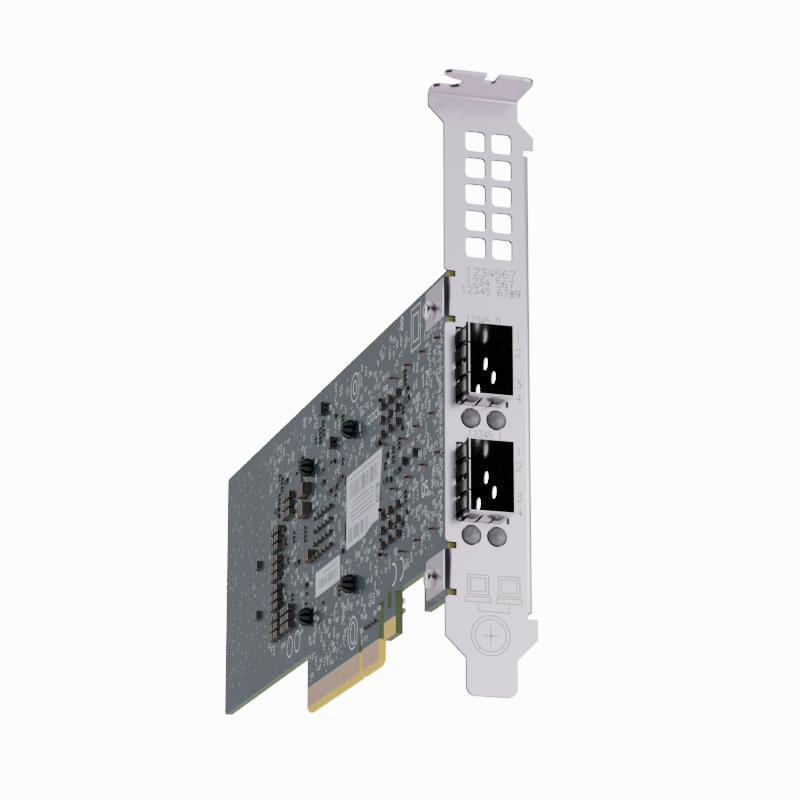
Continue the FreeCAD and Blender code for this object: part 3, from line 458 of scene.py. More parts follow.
def spot(y, z, out=0.0):
    """A point over the solder side, in millimetres: y from the bracket's face, z from its tip."""
    return Vector((SOLDER_X - out * MM, FACE_Y + y * MM, BRACKET_LOW.z + z * MM))


def over(y, z, out=0.0):
    """A point over the parts side, in millimetres: y from the bracket's face, z from its tip."""
    return Vector((PARTS_X + out * MM, FACE_Y + y * MM, BRACKET_LOW.z + z * MM))


def front(x, z, out=0.0):
    """A point over the bracket's outer face, in millimetres: x from its left edge, z from its tip."""
    return Vector((BRACKET_HIGH.x - (FACE_ACROSS - x) * MM, FACE_Y - out * MM, BRACKET_LOW.z + z * MM))


def joined(node):
    """The shape of a node with its loose triangles joined."""
    shape = bmesh.new()
    shape.from_mesh(NODES[node].data)
    bmesh.ops.remove_doubles(shape, verts=shape.verts, dist=1e-6)
    return shape


def eased(node, width, sharp=math.radians(40.0)):
    """The mesh of a node with its sharp edges rounded by a small radius."""
    shape = joined(node)
    bmesh.ops.dissolve_limit(shape, angle_limit=0.02, verts=shape.verts, edges=shape.edges)
    carrier = put(f"{node}_carrier", finish_mesh(f"{node}_eased", shape, printed=True))
    carrier.data.materials.clear()
    round_off = carrier.modifiers.new("round", "BEVEL")
    round_off.width = width
    round_off.segments = 2
    round_off.limit_method = "ANGLE"
    round_off.angle_limit = sharp
    round_off.use_clamp_overlap = True
    mesh = settled(carrier)
    mesh.set_sharp_from_angle(angle=sharp)
    for face in mesh.polygons:
        face.use_smooth = max(abs(part) for part in face.normal) < 0.9999
    return mesh


def islands(*nodes):
    """Box of each separate solid of these nodes, as a pair of corners."""
    boxes = []
    for node in nodes:
        shape = joined(node)
        seen = set()
        for start in shape.verts:
            if start in seen:
                continue
            seen.add(start)
            reached = [start]
            for vert in reached:
                for edge in vert.link_edges:
                    other = edge.other_vert(vert)
                    if other not in seen:
                        seen.add(other)
                        reached.append(other)
            low = Vector(min(vert.co[axis] for vert in reached) for axis in range(3))
            high = Vector(max(vert.co[axis] for vert in reached) for axis in range(3))
            boxes.append((low, high))
        shape.free()
    return boxes


def block(shape, low, high, bevel=0.0, segments=2):
    """A box between two corners, with rounded edges."""
    low, high = low_high((low, high))
    place = Matrix.Translation((low + high) / 2) @ Matrix.Diagonal((*(high - low), 1.0))
    made = bmesh.ops.create_cube(shape, size=1.0, matrix=place)
    if bevel:
        edges = {edge for vert in made["verts"] for edge in vert.link_edges}
        bmesh.ops.bevel(shape, geom=list(edges), offset=bevel, segments=segments, profile=0.5, affect="EDGES")


def turned(shape, profile, centre, axis, sides=24, start=0.0, sweep=math.tau):
    """Revolve a profile of (along, radius) about an axis; a part turn gets a wall at each end."""
    axis = Vector(axis)
    right = axis.orthogonal().normalized()
    ahead = axis.cross(right)
    whole = sweep == math.tau
    rings = []
    for step in range(sides if whole else sides + 1):
        angle = start + sweep * step / sides
        out = right * math.cos(angle) + ahead * math.sin(angle)
        rings.append([shape.verts.new(centre + axis * along + out * radius) for along, radius in profile])
    for ring, after in zip(rings, rings[1:] + (rings[:1] if whole else [])):
        for index in range(len(profile) - 1):
            shape.faces.new((ring[index], ring[index + 1], after[index + 1], after[index]))
    if not whole:
        shape.faces.new(rings[0])
        shape.faces.new(list(reversed(rings[-1])))


def skin(shape, loops):
    """A closed body through loops that have as many corners each."""
    rings = [[shape.verts.new(corner) for corner in loop] for loop in loops]
    shape.faces.new(rings[0])
    shape.faces.new(list(reversed(rings[-1])))
    for ring, after in zip(rings, rings[1:]):
        for step in range(len(ring)):
            following = (step + 1) % len(ring)
            shape.faces.new((ring[step], after[step], after[following], ring[following]))


def sheet(shape, out, y_low, z_low, y_high, z_high):
    """One flat face over an area of the solder side, facing away from the board."""
    corners = ((y_low, z_low), (y_low, z_high), (y_high, z_high), (y_high, z_low))
    shape.faces.new([shape.verts.new(spot(y, z, out)) for y, z in corners])


class Pen:
    """Draws flat lines on one face of the card; at gives the point for a place in millimetres."""

    def __init__(self, shape, at, normal, right=1, index=0):
        self.shape = shape
        self.at = at
        self.normal = Vector(normal)
        self.right = right
        self.index = index

    def line(self, places, width):
        """A line of even width through the places, mitred at its corners."""
        spine = [self.at(*place) for place in places]
        closed = (spine[0] - spine[-1]).length < 1e-7
        if closed:
            spine.pop()
        total = len(spine)
        sides = []
        for place, point in enumerate(spine):
            into = point - spine[place - 1] if closed or place else spine[1] - point
            into = into.normalized()
            away = (spine[(place + 1) % total] - point).normalized() if closed or place < total - 1 else into
            along = (into + away).normalized() if (into + away).length > 1e-3 else into
            across = self.normal.cross(along).normalized()
            reach = width * MM / 2 / max(0.5, abs(across.dot(self.normal.cross(into).normalized())))
            sides.append([self.shape.verts.new(point + across * reach * side) for side in (1, -1)])
        for first, second in zip(sides, sides[1:] + (sides[:1] if closed else [])):
            face = self.shape.faces.new((first[0], first[1], second[1], second[0]))
            face.material_index = self.index

    def frame(self, y_low, z_low, y_high, z_high, width):
        corners = ((y_low, z_low), (y_high, z_low), (y_high, z_high), (y_low, z_high), (y_low, z_low))
        self.line(corners, width)

    def arc(self, y, z, radius, tall, width, steps, start=0.0, sweep=math.tau):
        turns = [start + sweep * step / steps for step in range(steps + 1)]
        self.line([(y + radius * math.cos(turn), z + tall * math.sin(turn)) for turn in turns], width)

    def text(self, text, y, z, height, width, wide=1.0, upright=False):
        """Numbers from their lower left corner; wide stretches them along the line."""
        size = height / TALL
        for place, letter in enumerate(text):
            strokes = [((ADVANCE * place + a) * size * wide, b * size) for a, b in NUMERALS.get(letter, ())]
            if upright:
                strokes = [(y - self.right * up, z + along) for along, up in strokes]
            else:
                strokes = [(y + self.right * along, z + up) for along, up in strokes]
            if strokes:
                self.line(strokes, width)


# Geometry Nodes


def end_tree(tree, enter, leave, points, instance, **placing):
    """Copies of a shape on points, made real and given the finish."""
    inputs = {"Points": points, "Instance": instance, **placing}
    copies = add(tree, "GeometryNodeInstanceOnPoints", inputs).outputs[0]
    real = add(tree, "GeometryNodeRealizeInstances", {0: copies}).outputs[0]
    dressed = add(tree, "GeometryNodeSetMaterial", {"Geometry": real, "Material": enter["Finish"]})
    feed(tree, leave, {"Copies": dressed.outputs[0]})
    return tree


def template_shape(tree, enter):
    info = add(tree, "GeometryNodeObjectInfo", {"Object": enter["Template"]}, transform_space="ORIGINAL")
    return info.outputs["Geometry"]


def repeat_tree():
    """Copies of a template on the points of a mesh, each with its own turn and size."""
    tree, enter, leave = new_group(
        "Geometry", "Repeat on points",
        [("Points", "Geometry"), ("Template", "Object"), ("Finish", "Material")], [("Copies", "Geometry")],
    )
    turn, size = (
        add(tree, "GeometryNodeInputNamedAttribute", {"Name": name}, data_type="FLOAT_VECTOR").outputs[0]
        for name in ("turn", "size")
    )
    euler = add(tree, "FunctionNodeEulerToRotation", {0: turn}).outputs[0]
    shape = template_shape(tree, enter)
    return end_tree(tree, enter, leave, enter["Points"], shape, Rotation=euler, Scale=size)


def scatter_tree():
    """A template scattered on faces with a fixed seed."""
    tree, enter, leave = new_group(
        "Geometry", "Scatter on faces",
        [("Faces", "Geometry"), ("Template", "Object"), ("Finish", "Material"), ("Density", "Float"),
         ("Gap", "Float"), ("Seed", "Int")],
        [("Copies", "Geometry")],
    )
    points = add(tree, "GeometryNodeDistributePointsOnFaces", {
        "Mesh": enter["Faces"], "Distance Min": enter["Gap"], "Density Max": enter["Density"],
        "Seed": enter["Seed"],
    }, distribute_method="POISSON")
    return end_tree(tree, enter, leave, points.outputs["Points"], template_shape(tree, enter))


def spring_tree():
    """A coil of round wire along X at each point."""
    tree, enter, leave = new_group(
        "Geometry", "Coil springs",
        [("Points", "Geometry"), ("Turns", "Float"), ("Radius", "Float"), ("Wire", "Float"),
         ("Height", "Float"), ("Finish", "Material")],
        [("Copies", "Geometry")],
    )
    path = add(tree, "GeometryNodeCurveSpiral", {
        "Resolution": 20, "Rotations": enter["Turns"], "Start Radius": enter["Radius"],
        "End Radius": enter["Radius"], "Height": enter["Height"],
    }).outputs[0]
    wire = add(tree, "GeometryNodeCurvePrimitiveCircle", {"Resolution": 8, "Radius": enter["Wire"]})
    sweep = {"Curve": path, "Profile Curve": wire.outputs[0], "Fill Caps": True}
    coil = add(tree, "GeometryNodeCurveToMesh", sweep)
    along = {"Geometry": coil.outputs[0], "Rotation": (0.0, math.pi / 2, 0.0)}
    return end_tree(tree, enter, leave, enter["Points"], add(tree, "GeometryNodeTransform", along).outputs[0])


TREES = {"repeat": repeat_tree(), "scatter": scatter_tree(), "spring": spring_tree()}


def grow(name, base, kind, template=None, smooth=False, **values):
    """Run a Geometry Nodes tree on a mesh and keep the plain mesh that it gives."""
    helpers = [put(f"{name}_template", finish_mesh(f"{name}_template", template, smooth))] if template else []
    if helpers:
        values["Template"] = helpers[0]
    carrier = put(f"{name}_base", base)
    modifier = carrier.modifiers.new("nodes", "NODES")
    modifier.node_group = TREES[kind]
    inputs = [item for item in TREES[kind].interface.items_tree if item.in_out == "INPUT"]
    sockets = {item.name: item.identifier for item in inputs}
    for label, value in values.items():
        modifier[sockets[label]] = value
    mesh = settled(carrier, *helpers)
    mesh.name = name
    return mesh


def points_mesh(name, points):
    mesh = bpy.data.meshes.new(f"{name}_points")
    mesh.from_pydata([tuple(point) for point in points], [], [])
    return mesh


def copies(name, template, stations, finish, slot, stands_for=(), smooth=False):
    """A piece made of copies of a template at stations, each (place, turn, size)."""
    base = points_mesh(name, [station[0] for station in stations])
    for label, index in (("turn", 1), ("size", 2)):
        layer = base.attributes.new(label, "FLOAT_VECTOR", "POINT")
        layer.data.foreach_set("vector", [number for station in stations for number in station[index]])
    mesh = grow(name, base, "repeat", template, smooth, Finish=finish)
    piece(name, mesh, slot=slot, stands_for=stands_for)


# Where small things may stand


def pin_feet():
    """Middles, as (y, z), of the cages' pins that come through to the solder side."""
    feet = []
    for port in PORTS:
        groups = {}
        for vert in NODES[f"port_cage_{port}"].data.vertices:
            if vert.co.x < SOLDER_X - 0.1 * MM:
                place = Vector(vert.co[1:])
                key = next((key for key in groups if (Vector(key) - place).length < 1.5 * MM), tuple(place))
                groups.setdefault(key, []).append(vert.co)
        feet += [[sum(co[axis] for co in group) / len(group) for axis in (1, 2)] for group in groups.values()]
    return feet


def flat(box, room=0.4):
    """Outline of a box on the board with room round it, as (y, z, y, z) in millimetres."""
    low, high = box
    return (
        (low[1] - FACE_Y) / MM - room, (low[2] - BRACKET_LOW.z) / MM - room,
        (high[1] - FACE_Y) / MM + room, (high[2] - BRACKET_LOW.z) / MM + room,
    )


def solder_taken():
    """Outlines on the solder side where nothing small may stand."""
    taken = [flat(box) for box in islands(*SOLDERED, "push_pins")]
    taken += [flat(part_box(node)) for node in ("product_label", "number_label")]
    taken += [flat(((0, y - MM, z - MM), (0, y + MM, z + MM))) for y, z in pin_feet()]
    taken += [(y - 0.5, z - 0.5, y + 4.5, z + 3) for y, z, text in BIG_NUMBERS]
    return taken + list(MARKED)


def parts_taken():
    """Outlines on the parts side where nothing small may stand."""
    nodes = [f"{node}_{port}" for node in ("port_cage", "light_pipe") for port in PORTS]
    taken = [flat(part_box(node)) for node in (*nodes, "heat_sink", "edge_contacts", "board_nuts")]
    return taken + [flat(box) for box in islands(*PARTS_SIDE)]


def overlaps(span, taken):
    return any(span[0] < b[2] and span[2] > b[0] and span[1] < b[3] and span[3] > b[1] for b in taken)


def resistor_rows(seed, areas, taken, total):
    """Short rows of small resistors in free places, as (y, z, upright); taken grows by them."""
    dice = random.Random(seed)
    step, long = 0.95, 1.5
    found = []
    for attempt in range(total * 8):
        if len(found) >= total:
            break
        y_low, z_low, y_high, z_high = dice.choice(areas)
        y, z = dice.uniform(y_low, y_high), dice.uniform(z_low, z_high)
        upright = dice.random() < 0.5
        number = dice.randint(1, 4)
        across, up = (step * number, long) if upright else (long, step * number)
        span = (y, z, y + across, z + up)
        if overlaps(span, taken):
            continue
        taken.append(span)
        for place in range(number):
            aside = step * (place + 0.5)
            found.append((y + aside, z + long / 2, True) if upright else (y + long / 2, z + aside, False))
    return found


def solder_resistors(taken):
    return resistor_rows(23, SOLDER_ROWS, taken, 150)


def parts_resistors(taken):
    return resistor_rows(29, PARTS_ROWS, taken, 90)


# Operators


class CardOperator(bpy.types.Operator):
    """Base of the card's operators"""
    bl_options = {"REGISTER", "UNDO"}


class CARD_OT_board(CardOperator):
    """Solder mask, bare laminate, cut edges and gold hook of the circuit board"""
    bl_idname = "card.board"
    bl_label = "Circuit board"

    def execute(self, context):
        dress(board_finish(context.scene.card_board), "circuit_board")
        return {"FINISHED"}


def board_finish(settings):
    """Mask over printed traces on the faces, bare or gold by the contacts, laminate on the edges, with
    painted light on the front edges seen through the bracket's slots.
    """
    finish = Finish("solder_mask", IOR=1.5, Coat_Weight=0.15, Coat_Roughness=0.10)
    tree = finish.tree
    x, y, z = finish.split()
    traces = board_traces(finish, y, z, settings.trace_step)
    lines = calc(tree, "MULTIPLY", traces, 0.55)
    contacts_low, contacts_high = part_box("edge_contacts")
    low_end = calc(tree, "LESS_THAN", z, contacts_high[2] + 0.2 * MM)
    bare = calc(tree, "MULTIPLY", low_end, calc(tree, "GREATER_THAN", y, contacts_low[1] - 2.5 * MM))
    hook_near, hook_far = FACE_Y + 34.0 * MM, FACE_Y + 43.0 * MM
    hook_side = within(tree, y, hook_near, hook_far)
    hook = calc(tree, "MULTIPLY", hook_side, calc(tree, "LESS_THAN", z, contacts_high[2] + 2.55 * MM))
    mask = finish.group("grain", Size=700.0, Drift_size=55.0, First=four(settings.mask),
                        Second=four(settings.mask_dark))
    top = blend(tree, lines, mask["Colour"], four(settings.mask, 1.45))
    top = blend(tree, bare, top, four(settings.bare))
    top = blend(tree, hook, top, four(settings.hook))
    layers = noise(tree, vector(tree, "MULTIPLY", finish.place, (5200.0, 240.0, 240.0))[0], 1.0, 1.0)
    edge = blend(tree, layers, four(settings.laminate), four(settings.laminate, 0.6))
    # Front edges seen through the bracket's slots get a lighter laminate: painted light in their shade.
    edge = blend(tree, calc(tree, "LESS_THAN", y, FACE_Y + 1.4 * MM), edge, four(settings.ears))
    edge = blend(tree, bare, edge, four(settings.hook))
    face = calc(tree, "GREATER_THAN", calc(tree, "ABSOLUTE", x), PARTS_X - 0.03 * MM)
    rough = blend(tree, face, grey(0.75), blend(tree, lines, grey(0.30), grey(0.22)))
    height = calc(tree, "ADD", calc(tree, "MULTIPLY", mask["Height"], 0.4), traces)
    return finish.look(Base_Color=blend(tree, face, edge, top), Roughness=rough,
                       Normal=finish.bump(height, 0.03, 0.4))


def board_traces(finish, y, z, step):
    """Upright, level and sloping traces in patches of their own, as one mask."""
    tree = finish.tree
    sloping = calc(tree, "ADD", calc(tree, "MULTIPLY", y, 0.7), calc(tree, "MULTIPLY", z, 0.7))
    traces = 0.0
    for across, spread, share, patch, cover in (
        (y, 1.0, 0.42, (60.0, 60.0, 45.0), 0.50),
        (z, 0.8, 0.45, (60.0, 90.0, 70.0), 0.55),
        (sloping, 1.0, 0.4, (110.0, 110.0, 110.0), 0.60),
    ):
        lines = finish.group("traces", Across=across, Step=step * spread, Share=share, Patch=patch,
                             Cover=cover)
        traces = calc(tree, "MAXIMUM", traces, lines[0])
    return traces


class CARD_OT_plating(CardOperator):
    """Plated holes and solder joints of the board"""
    bl_idname = "card.plating"
    bl_label = "Plated holes"

    def execute(self, context):
        add_vias(context.scene.card_board.vias * 1e4)
        add_joints(pin_feet())
        return {"FINISHED"}


def ring(radius, hole, sides):
    """A flat ring that faces the solder side, round the origin; sizes in millimetres."""
    shape = bmesh.new()
    turned(shape, [(0.0, radius * MM), (0.0, hole * MM)], Vector((0, 0, 0)), (-1, 0, 0), sides)
    return shape


def add_vias(density):
    tin = metal("tinned_copper", (0.62, 0.63, 0.64), 0.35)
    base = bmesh.new()
    for area in SOLDER_AREAS:
        sheet(base, VIA_LIFT, *area)
    base = finish_mesh("via_base", base, printed=True)
    mesh = grow("vias", base, "scatter", ring(0.30, 0.13, 8), Finish=tin, Density=density, Gap=0.9 * MM,
                Seed=7)
    piece("vias", mesh, slot="bright_steel")


def add_joints(feet):
    """A cone of solder and a ring of flux on every pin of the cages, and four loose rings."""
    still, whole, small = (0, 0, 0), (1, 1, 1), (0.8, 0.8, 0.8)
    cone = bmesh.new()
    profile = [(0.0, 0.95), (0.06, 0.80), (0.20, 0.52), (0.45, 0.34), (0.45, 0.0)]
    turned(cone, [(a * MM, r * MM) for a, r in profile], Vector((0, 0, 0)), (-1, 0, 0), 12)
    # The solder cones are coloured dark grey.
    dull = metal("dark_solder", (0.16, 0.13, 0.12), 0.45)
    stations = [((SOLDER_X, y, z), still, whole) for y, z in feet]
    copies("cage_pin_joints", cone, stations, dull, "bright_steel", smooth=True)
    flux = moulded("flux_ring", (0.12, 0.022, 0.02), 0.4)
    stations = [((SOLDER_X - FLUX_LIFT * MM, y, z), still, whole) for y, z in feet]
    marks = ((50.2, 28.6), (99.9, 28.7), (120.8, 28.7), (141.8, 28.3))
    stations += [(spot(y, z, FLUX_LIFT), still, small) for y, z in marks]
    copies("flux_rings", ring(1.08, 0.90, 16), stations, flux, "board")


class CARD_OT_legend(CardOperator):
    """Numbers, frames and marks printed on both sides of the board"""
    bl_idname = "card.legend"
    bl_label = "Printed legend"

    def execute(self, context):
        settings = context.scene.card_board
        shape = bmesh.new()
        pen = Pen(shape, lambda y, z: spot(y, z, PRINT_LIFT), (-1, 0, 0), -1)
        taken = solder_taken()
        solder_resistors(taken)
        small_numbers(pen, random.Random(11), settings.numbers, taken, SOLDER_AREAS)
        solder_marks(pen)
        pen = Pen(shape, lambda y, z: over(y, z, PRINT_LIFT), (1, 0, 0))
        taken = parts_taken()
        parts_resistors(taken)
        part_frames(pen, taken)
        small_numbers(pen, random.Random(5), settings.numbers // 2, taken, PARTS_AREAS)
        paint = moulded("legend_paint", settings.legend, 0.55, second=0.8)
        piece("board_legend", shape, paint, slot="board", printed=True)
        return {"FINISHED"}


def small_numbers(pen, dice, total, taken, areas):
    """Small numbers beside the components, more of them near the ports."""
    line, far_share, bunch = 0.14, 0.78, 3.0
    placed = 0
    sizes = [(y_high - y_low) * (z_high - z_low) for y_low, z_low, y_high, z_high in areas]
    for attempt in range(total * 4):
        if placed == total:
            break
        y_low, z_low, y_high, z_high = dice.choices(areas, sizes)[0]
        long = y_high - y_low
        reach, bunched = (far_share * long, bunch) if long > 100 else (long - 4, 1.0)
        y = y_low + reach * dice.random() ** bunched
        z = z_low + (z_high - z_low - 1) * dice.random()
        upright = dice.random() < 0.45
        text = str(dice.randint(10, 899))
        tall = dice.uniform(0.75, 1.0)
        wide = tall * ADVANCE * len(text) / TALL
        across, up = (tall, wide) if upright else (wide, tall)
        span = (y, z, y + across, z + up)
        if overlaps(span, taken):
            continue
        taken.append(span)
        placed += 1
        start = y if upright == (pen.right < 0) else y + across
        pen.text(text, start, z, tall, line, upright=upright)


def part_frames(pen, taken):
    """A frame and a number for every chip, coil and capacitor of the parts side."""
    for number, box in enumerate(islands(*PARTS_SIDE), 1):
        y_low, z_low, y_high, z_high = flat(box)
        y_low, y_high = y_low - 0.3, y_high + 0.3
        pen.frame(y_low, z_low, y_high, z_high, 0.18)
        pen.text(str(number), y_low, z_high + 0.3, 1.0, 0.14)
        taken.append((y_low - 0.2, z_low - 0.2, y_high + 0.2, z_high + 1.6))


def solder_marks(pen):
    """Frames, rings, arcs, rows of dashes and large numbers of the solder side."""
    even, bold = 0.3, 0.45
    pen.frame(18.0, 73.5, 24.0, 82.0, even)
    pen.frame(19.3, 75.0, 22.7, 80.5, even)
    for step in range(4):
        y = 44.5 + step * 2.5
        pen.frame(y, 66.5, y + 1.7, 68.0, 0.25)
    for y, z, radius, tall in (
        (106, 32, 2.2, 1.0), (112, 32, 2.2, 1.0), (64, 25, 3.3, 1.0), (64, 25, 1.6, 1.4), (63, 77, 3.0, 1.0),
        (63, 77, 1.4, 1.0),
    ):
        pen.arc(y, z, radius, radius * tall, even, 32)
    for y in (31.5, 36.5):
        pen.arc(y, 31.0, 2.6, 2.2, bold, 14, math.pi / 2, math.pi)
    for step in range(36):
        z = 31.5 + step * 1.25
        pen.line(((5.4, z), (5.4, z + 0.55)), bold)
        if step % 3:
            pen.line(((6.4, z), (6.9, z + 0.4)), 0.22)
    for y, z, text in BIG_NUMBERS:
        pen.text(text, y + 3, z, 2.6, 0.4)


class CARD_OT_contacts(CardOperator):
    """Gold plating of the edge contacts and of the host sockets' feet"""
    bl_idname = "card.contacts"
    bl_label = "Gold contacts"

    def execute(self, context):
        gold = metal("gold_plating", context.scene.card_board.gold, 0.32, 0.003, (2500.0, 2500.0, 150.0), 0.9)
        dress(gold, "edge_contacts", "host_contacts")
        return {"FINISHED"}


class CARD_OT_bracket(CardOperator):
    """Nickel plating of the bracket and the lines stamped in it"""
    bl_idname = "card.bracket"
    bl_label = "Bracket"

    def execute(self, context):
        settings = context.scene.card_bracket
        nickel = nickel_plate(settings)
        piece("bracket_sheet", eased("bracket", 0.2 * MM), nickel, slot="nickel", stands_for=("bracket",))
        shadow = metal("stamp_shadow", (0.38, 0.34, 0.39), 0.3)
        glint = metal("stamp_glint", (0.88, 0.87, 0.88), 0.3)
        shape = bmesh.new()
        width = settings.stamp_width / MM
        stamps(Pen(shape, lambda x, z: front(x, z, SHADOW_LIFT), (0, -1, 0)), width)
        aside, thinner = 0.22, 0.6
        lit = Pen(shape, lambda x, z: front(x + aside, z - aside, GLINT_LIFT), (0, -1, 0), index=1)
        stamps(lit, width * thinner)
        piece("bracket_stamps", shape, shadow, glint, slot="nickel", printed=True)
        return {"FINISHED"}


def nickel_plate(settings):
    """Nickel over rolled steel, with a dark colour on the faces where the sheet was cut: partly the duller
    sheared edge, partly painted shade for the dark outlines along the edges.
    """
    finish = Finish("nickel_plate", Metallic=1.0)
    tree = finish.tree
    rolled = finish.rolled((1500.0, 1500.0, 60.0), settings.nickel, 0.95)
    x, y, z = finish.split()
    skin_deep, thick, flange, lip = 0.07 * MM, 0.79 * MM, 2.6 * MM, 3.2 * MM
    # The cut faces take a dark colour that is partly real sheared steel and partly painted shade.
    cut = within(tree, y, FACE_Y + skin_deep, FACE_Y + thick)
    cut = calc(tree, "MULTIPLY", cut, calc(tree, "LESS_THAN", z, BRACKET_HIGH.z - flange))
    cut = calc(tree, "MULTIPLY", cut, calc(tree, "LESS_THAN", x, BRACKET_HIGH.x - lip))
    return finish.parted(cut, rolled["Colour"], four(settings.cut), (0.24, 0.42), rolled["Height"], 0.001)


def stamps(pen, width):
    """Every stamped line: numbers, two framed squares on feet, what joins them, and a ring with a cross."""
    for text, x, z, tall, wide in (
        ("1234567", 4.5, 82.5, 1.5, 1.2), ("1234 567", 4.5, 80.6, 1.4, 1.07),
        ("12345 6789", 3.5, 78.8, 1.35, 1.1), ("12345 0", 4.4, 72.9, 1.3, 0.95),
        ("12345 1", 4.7, 50.1, 1.3, 0.95),
    ):
        pen.text(text, x, z, tall, width, wide)
    for text, z in zip("12341234", (69.65, 66.7, 60.6, 57.8, 47.0, 44.1, 38.1, 35.2)):
        pen.text(text, 14.4, z, 1.65, width)
    for x in (4.4, 10.6):
        pen.frame(x, 19.4, x + 4.2, 23.2, width)
        pen.frame(x + 0.6, 20.0, x + 3.6, 22.6, width)
        pen.frame(x - 0.4, 17.95, x + 4.6, 18.95, width)
    pen.line(((6.5, 17.75), (6.5, 16.2), (12.7, 16.2), (12.7, 17.75)), width)
    for radius in (3.85, 3.1):
        pen.arc(8.94, 11.64, radius, radius, width, 40)
    pen.line(((7.3, 11.6), (10.6, 11.6)), width)
    pen.line(((8.94, 9.9), (8.94, 13.3)), width)


class CARD_OT_fasteners(CardOperator):
    """Cross-recessed screws with threaded shanks, and the nuts that take them"""
    bl_idname = "card.fasteners"
    bl_label = "Fasteners"

    def execute(self, context):
        steel = metal("screw_steel", (0.72, 0.71, 0.71), 0.2, 0.002, (900.0, 900.0, 900.0), 0.8)
        deep = context.scene.card_bracket.recess_deep
        for index, (low, high) in enumerate(sorted(islands("bracket_screws"), key=lambda box: box[0].z)):
            screw(f"bracket_screw_{index}", low, high, steel, deep, 0.35 + index)
        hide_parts("bracket_screws")
        dress(steel, "board_nuts")
        return {"FINISHED"}


def screw(name, low, high, steel, deep, turn):
    """A pan head with its cross recess turned by an angle, on a threaded shank."""
    middle = (low + high) / 2
    body = bmesh.new()
    profile = screw_profile(SCREW_SEAT - low.x, (high.z - low.z) / 2, high.x - SCREW_SEAT)
    turned(body, profile, Vector((SCREW_SEAT, middle.y, middle.z)), (-1, 0, 0), 40)
    head = put(f"{name}_body", finish_mesh(name, body, True))
    place = Matrix.Translation((low.x, middle.y, middle.z)) @ Matrix.Rotation(turn, 4, "X")
    cross = bmesh.new()
    arm, thin, tip, above = 1.15 * MM, 0.26 * MM, 0.35, 0.4 * MM
    for long, across in ((arm, thin), (thin, arm)):
        skin(cross, [
            [place @ Vector((x, a * long * share, b * across * share)) for a, b in CORNERS]
            for x, share in ((deep, tip), (-above, 1.0))
        ])
    cutter = put(f"{name}_cutter", finish_mesh(f"{name}_cutter", cross))
    cut = head.modifiers.new("recess", "BOOLEAN")
    cut.operation = "DIFFERENCE"
    cut.solver = "EXACT"
    cut.use_self = True
    cut.object = cutter
    mesh = settled(head, cutter)
    mesh.materials.clear()
    piece(name, mesh, steel, slot="bright_steel")


def screw_profile(tall, radius, long):
    """Profile (along, radius) from the top of the domed head to the end of the shank's thread."""
    arc = [math.pi / 2 * step / 6 for step in range(7)]
    drop, flat_top = 0.45, 0.35
    dome = [(tall - drop * tall * (1 - math.cos(a)), radius * (flat_top + (1 - flat_top) * math.sin(a)))
            for a in arc]
    pitch, crest, root = 0.2 * MM, 1.22 * MM, 1.0 * MM
    shank = [(-pitch * step, crest if step % 2 else root) for step in range(int(long / pitch))]
    return [(tall, 0.0), *dome, (0.0, radius), *shank, (shank[-1][0], 0.0)]


class CARD_OT_ports(CardOperator):
    """Cages, spring collars, host sockets and light guides"""
    bl_idname = "card.ports"
    bl_label = "Ports"

    def execute(self, context):
        settings = context.scene.card_port
        spring = collar_steel()
        finishes = {
            "port_cage": cage_steel(settings.cage), "spring_collar": spring,
            "host_connector": moulded("socket_plastic", (0.012, 0.012, 0.012), 0.45),
            "light_pipe": moulded("light_guide", settings.guide, 0.25, second=1.15),
        }
        clear = moulded("light_guide_lens", settings.lens, 0.25, second=1.15, Coat_Weight=0.25)
        lens, seals = bmesh.new(), bmesh.new()
        for port in PORTS:
            for node, finish in finishes.items():
                dress(finish, f"{node}_{port}")
            light_tips(lens, seals, f"light_pipe_{port}", settings.ring_step)
            collar_flange(seals, port)
        piece("light_pipe_lenses", lens, clear, slot="light_guide", smooth=True)
        piece("collar_flanges", seals, spring, slot="bright_steel")
        add_lamps()
        return {"FINISHED"}


def collar_flange(shape, port):
    """Flange of the collar behind the bracket, from the cage's wall past the opening."""
    low, high = low_high(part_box(f"port_cage_{port}"))
    collar_low, collar_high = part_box(f"spring_collar_{port}")
    low.x = collar_low[0] + collar_high[0] - high.x
    reach, board_reach, lap, thick = 1.15 * MM, 0.95 * MM, 0.24 * MM, 0.12 * MM
    x = (low.x - board_reach, low.x + lap, high.x - lap, high.x + reach)
    z = (low.z - reach, low.z + lap, high.z - lap, high.z + reach)
    for left, right, bottom, top in ((0, 3, 0, 1), (0, 3, 2, 3), (2, 3, 1, 2), (0, 1, 1, 2)):
        block(shape, (x[left], BACK_Y, z[bottom]), (x[right], BACK_Y + thick, z[top]))


def cage_steel(steel):
    """Bright rolled steel, with a dark brown painted shade on the pins that come through to the solder side.
    """
    finish = Finish("cage_steel", Metallic=1.0)
    rolled = finish.rolled((300.0, 300.0, 300.0), steel, 0.9)
    # Painted shade: the pins behind the board take a dark colour that stands for their shadow.
    painted_shade = four((0.05, 0.035, 0.03))
    behind = calc(finish.tree, "LESS_THAN", finish.split()[0], SOLDER_X)
    return finish.parted(behind, rolled["Colour"], painted_shade, (0.16, 0.5), rolled["Height"], 0.003)


def collar_steel():
    """Thin spring steel, bright at its far sides and dark and mottled next to the board, as painted shade."""
    finish = Finish("collar_spring_steel", Metallic=1.0, Roughness=0.20)
    stretch = (700.0, 700.0, 700.0)
    rolled = finish.rolled(stretch, (0.80, 0.77, 0.80), 0.5)
    # Painted shade: next to the board the collar takes a dark mottled colour for the shade it lies in.
    painted_shade = finish.rolled(stretch, (0.22, 0.21, 0.22), 0.05, Amount=0.9)
    near = calc(finish.tree, "LESS_THAN", finish.split()[0], PARTS_X + 0.62 * MM)
    mixed = blend(finish.tree, near, rolled["Colour"], painted_shade["Colour"])
    return finish.look(Base_Color=mixed, Normal=finish.bump(rolled["Height"], 0.05))


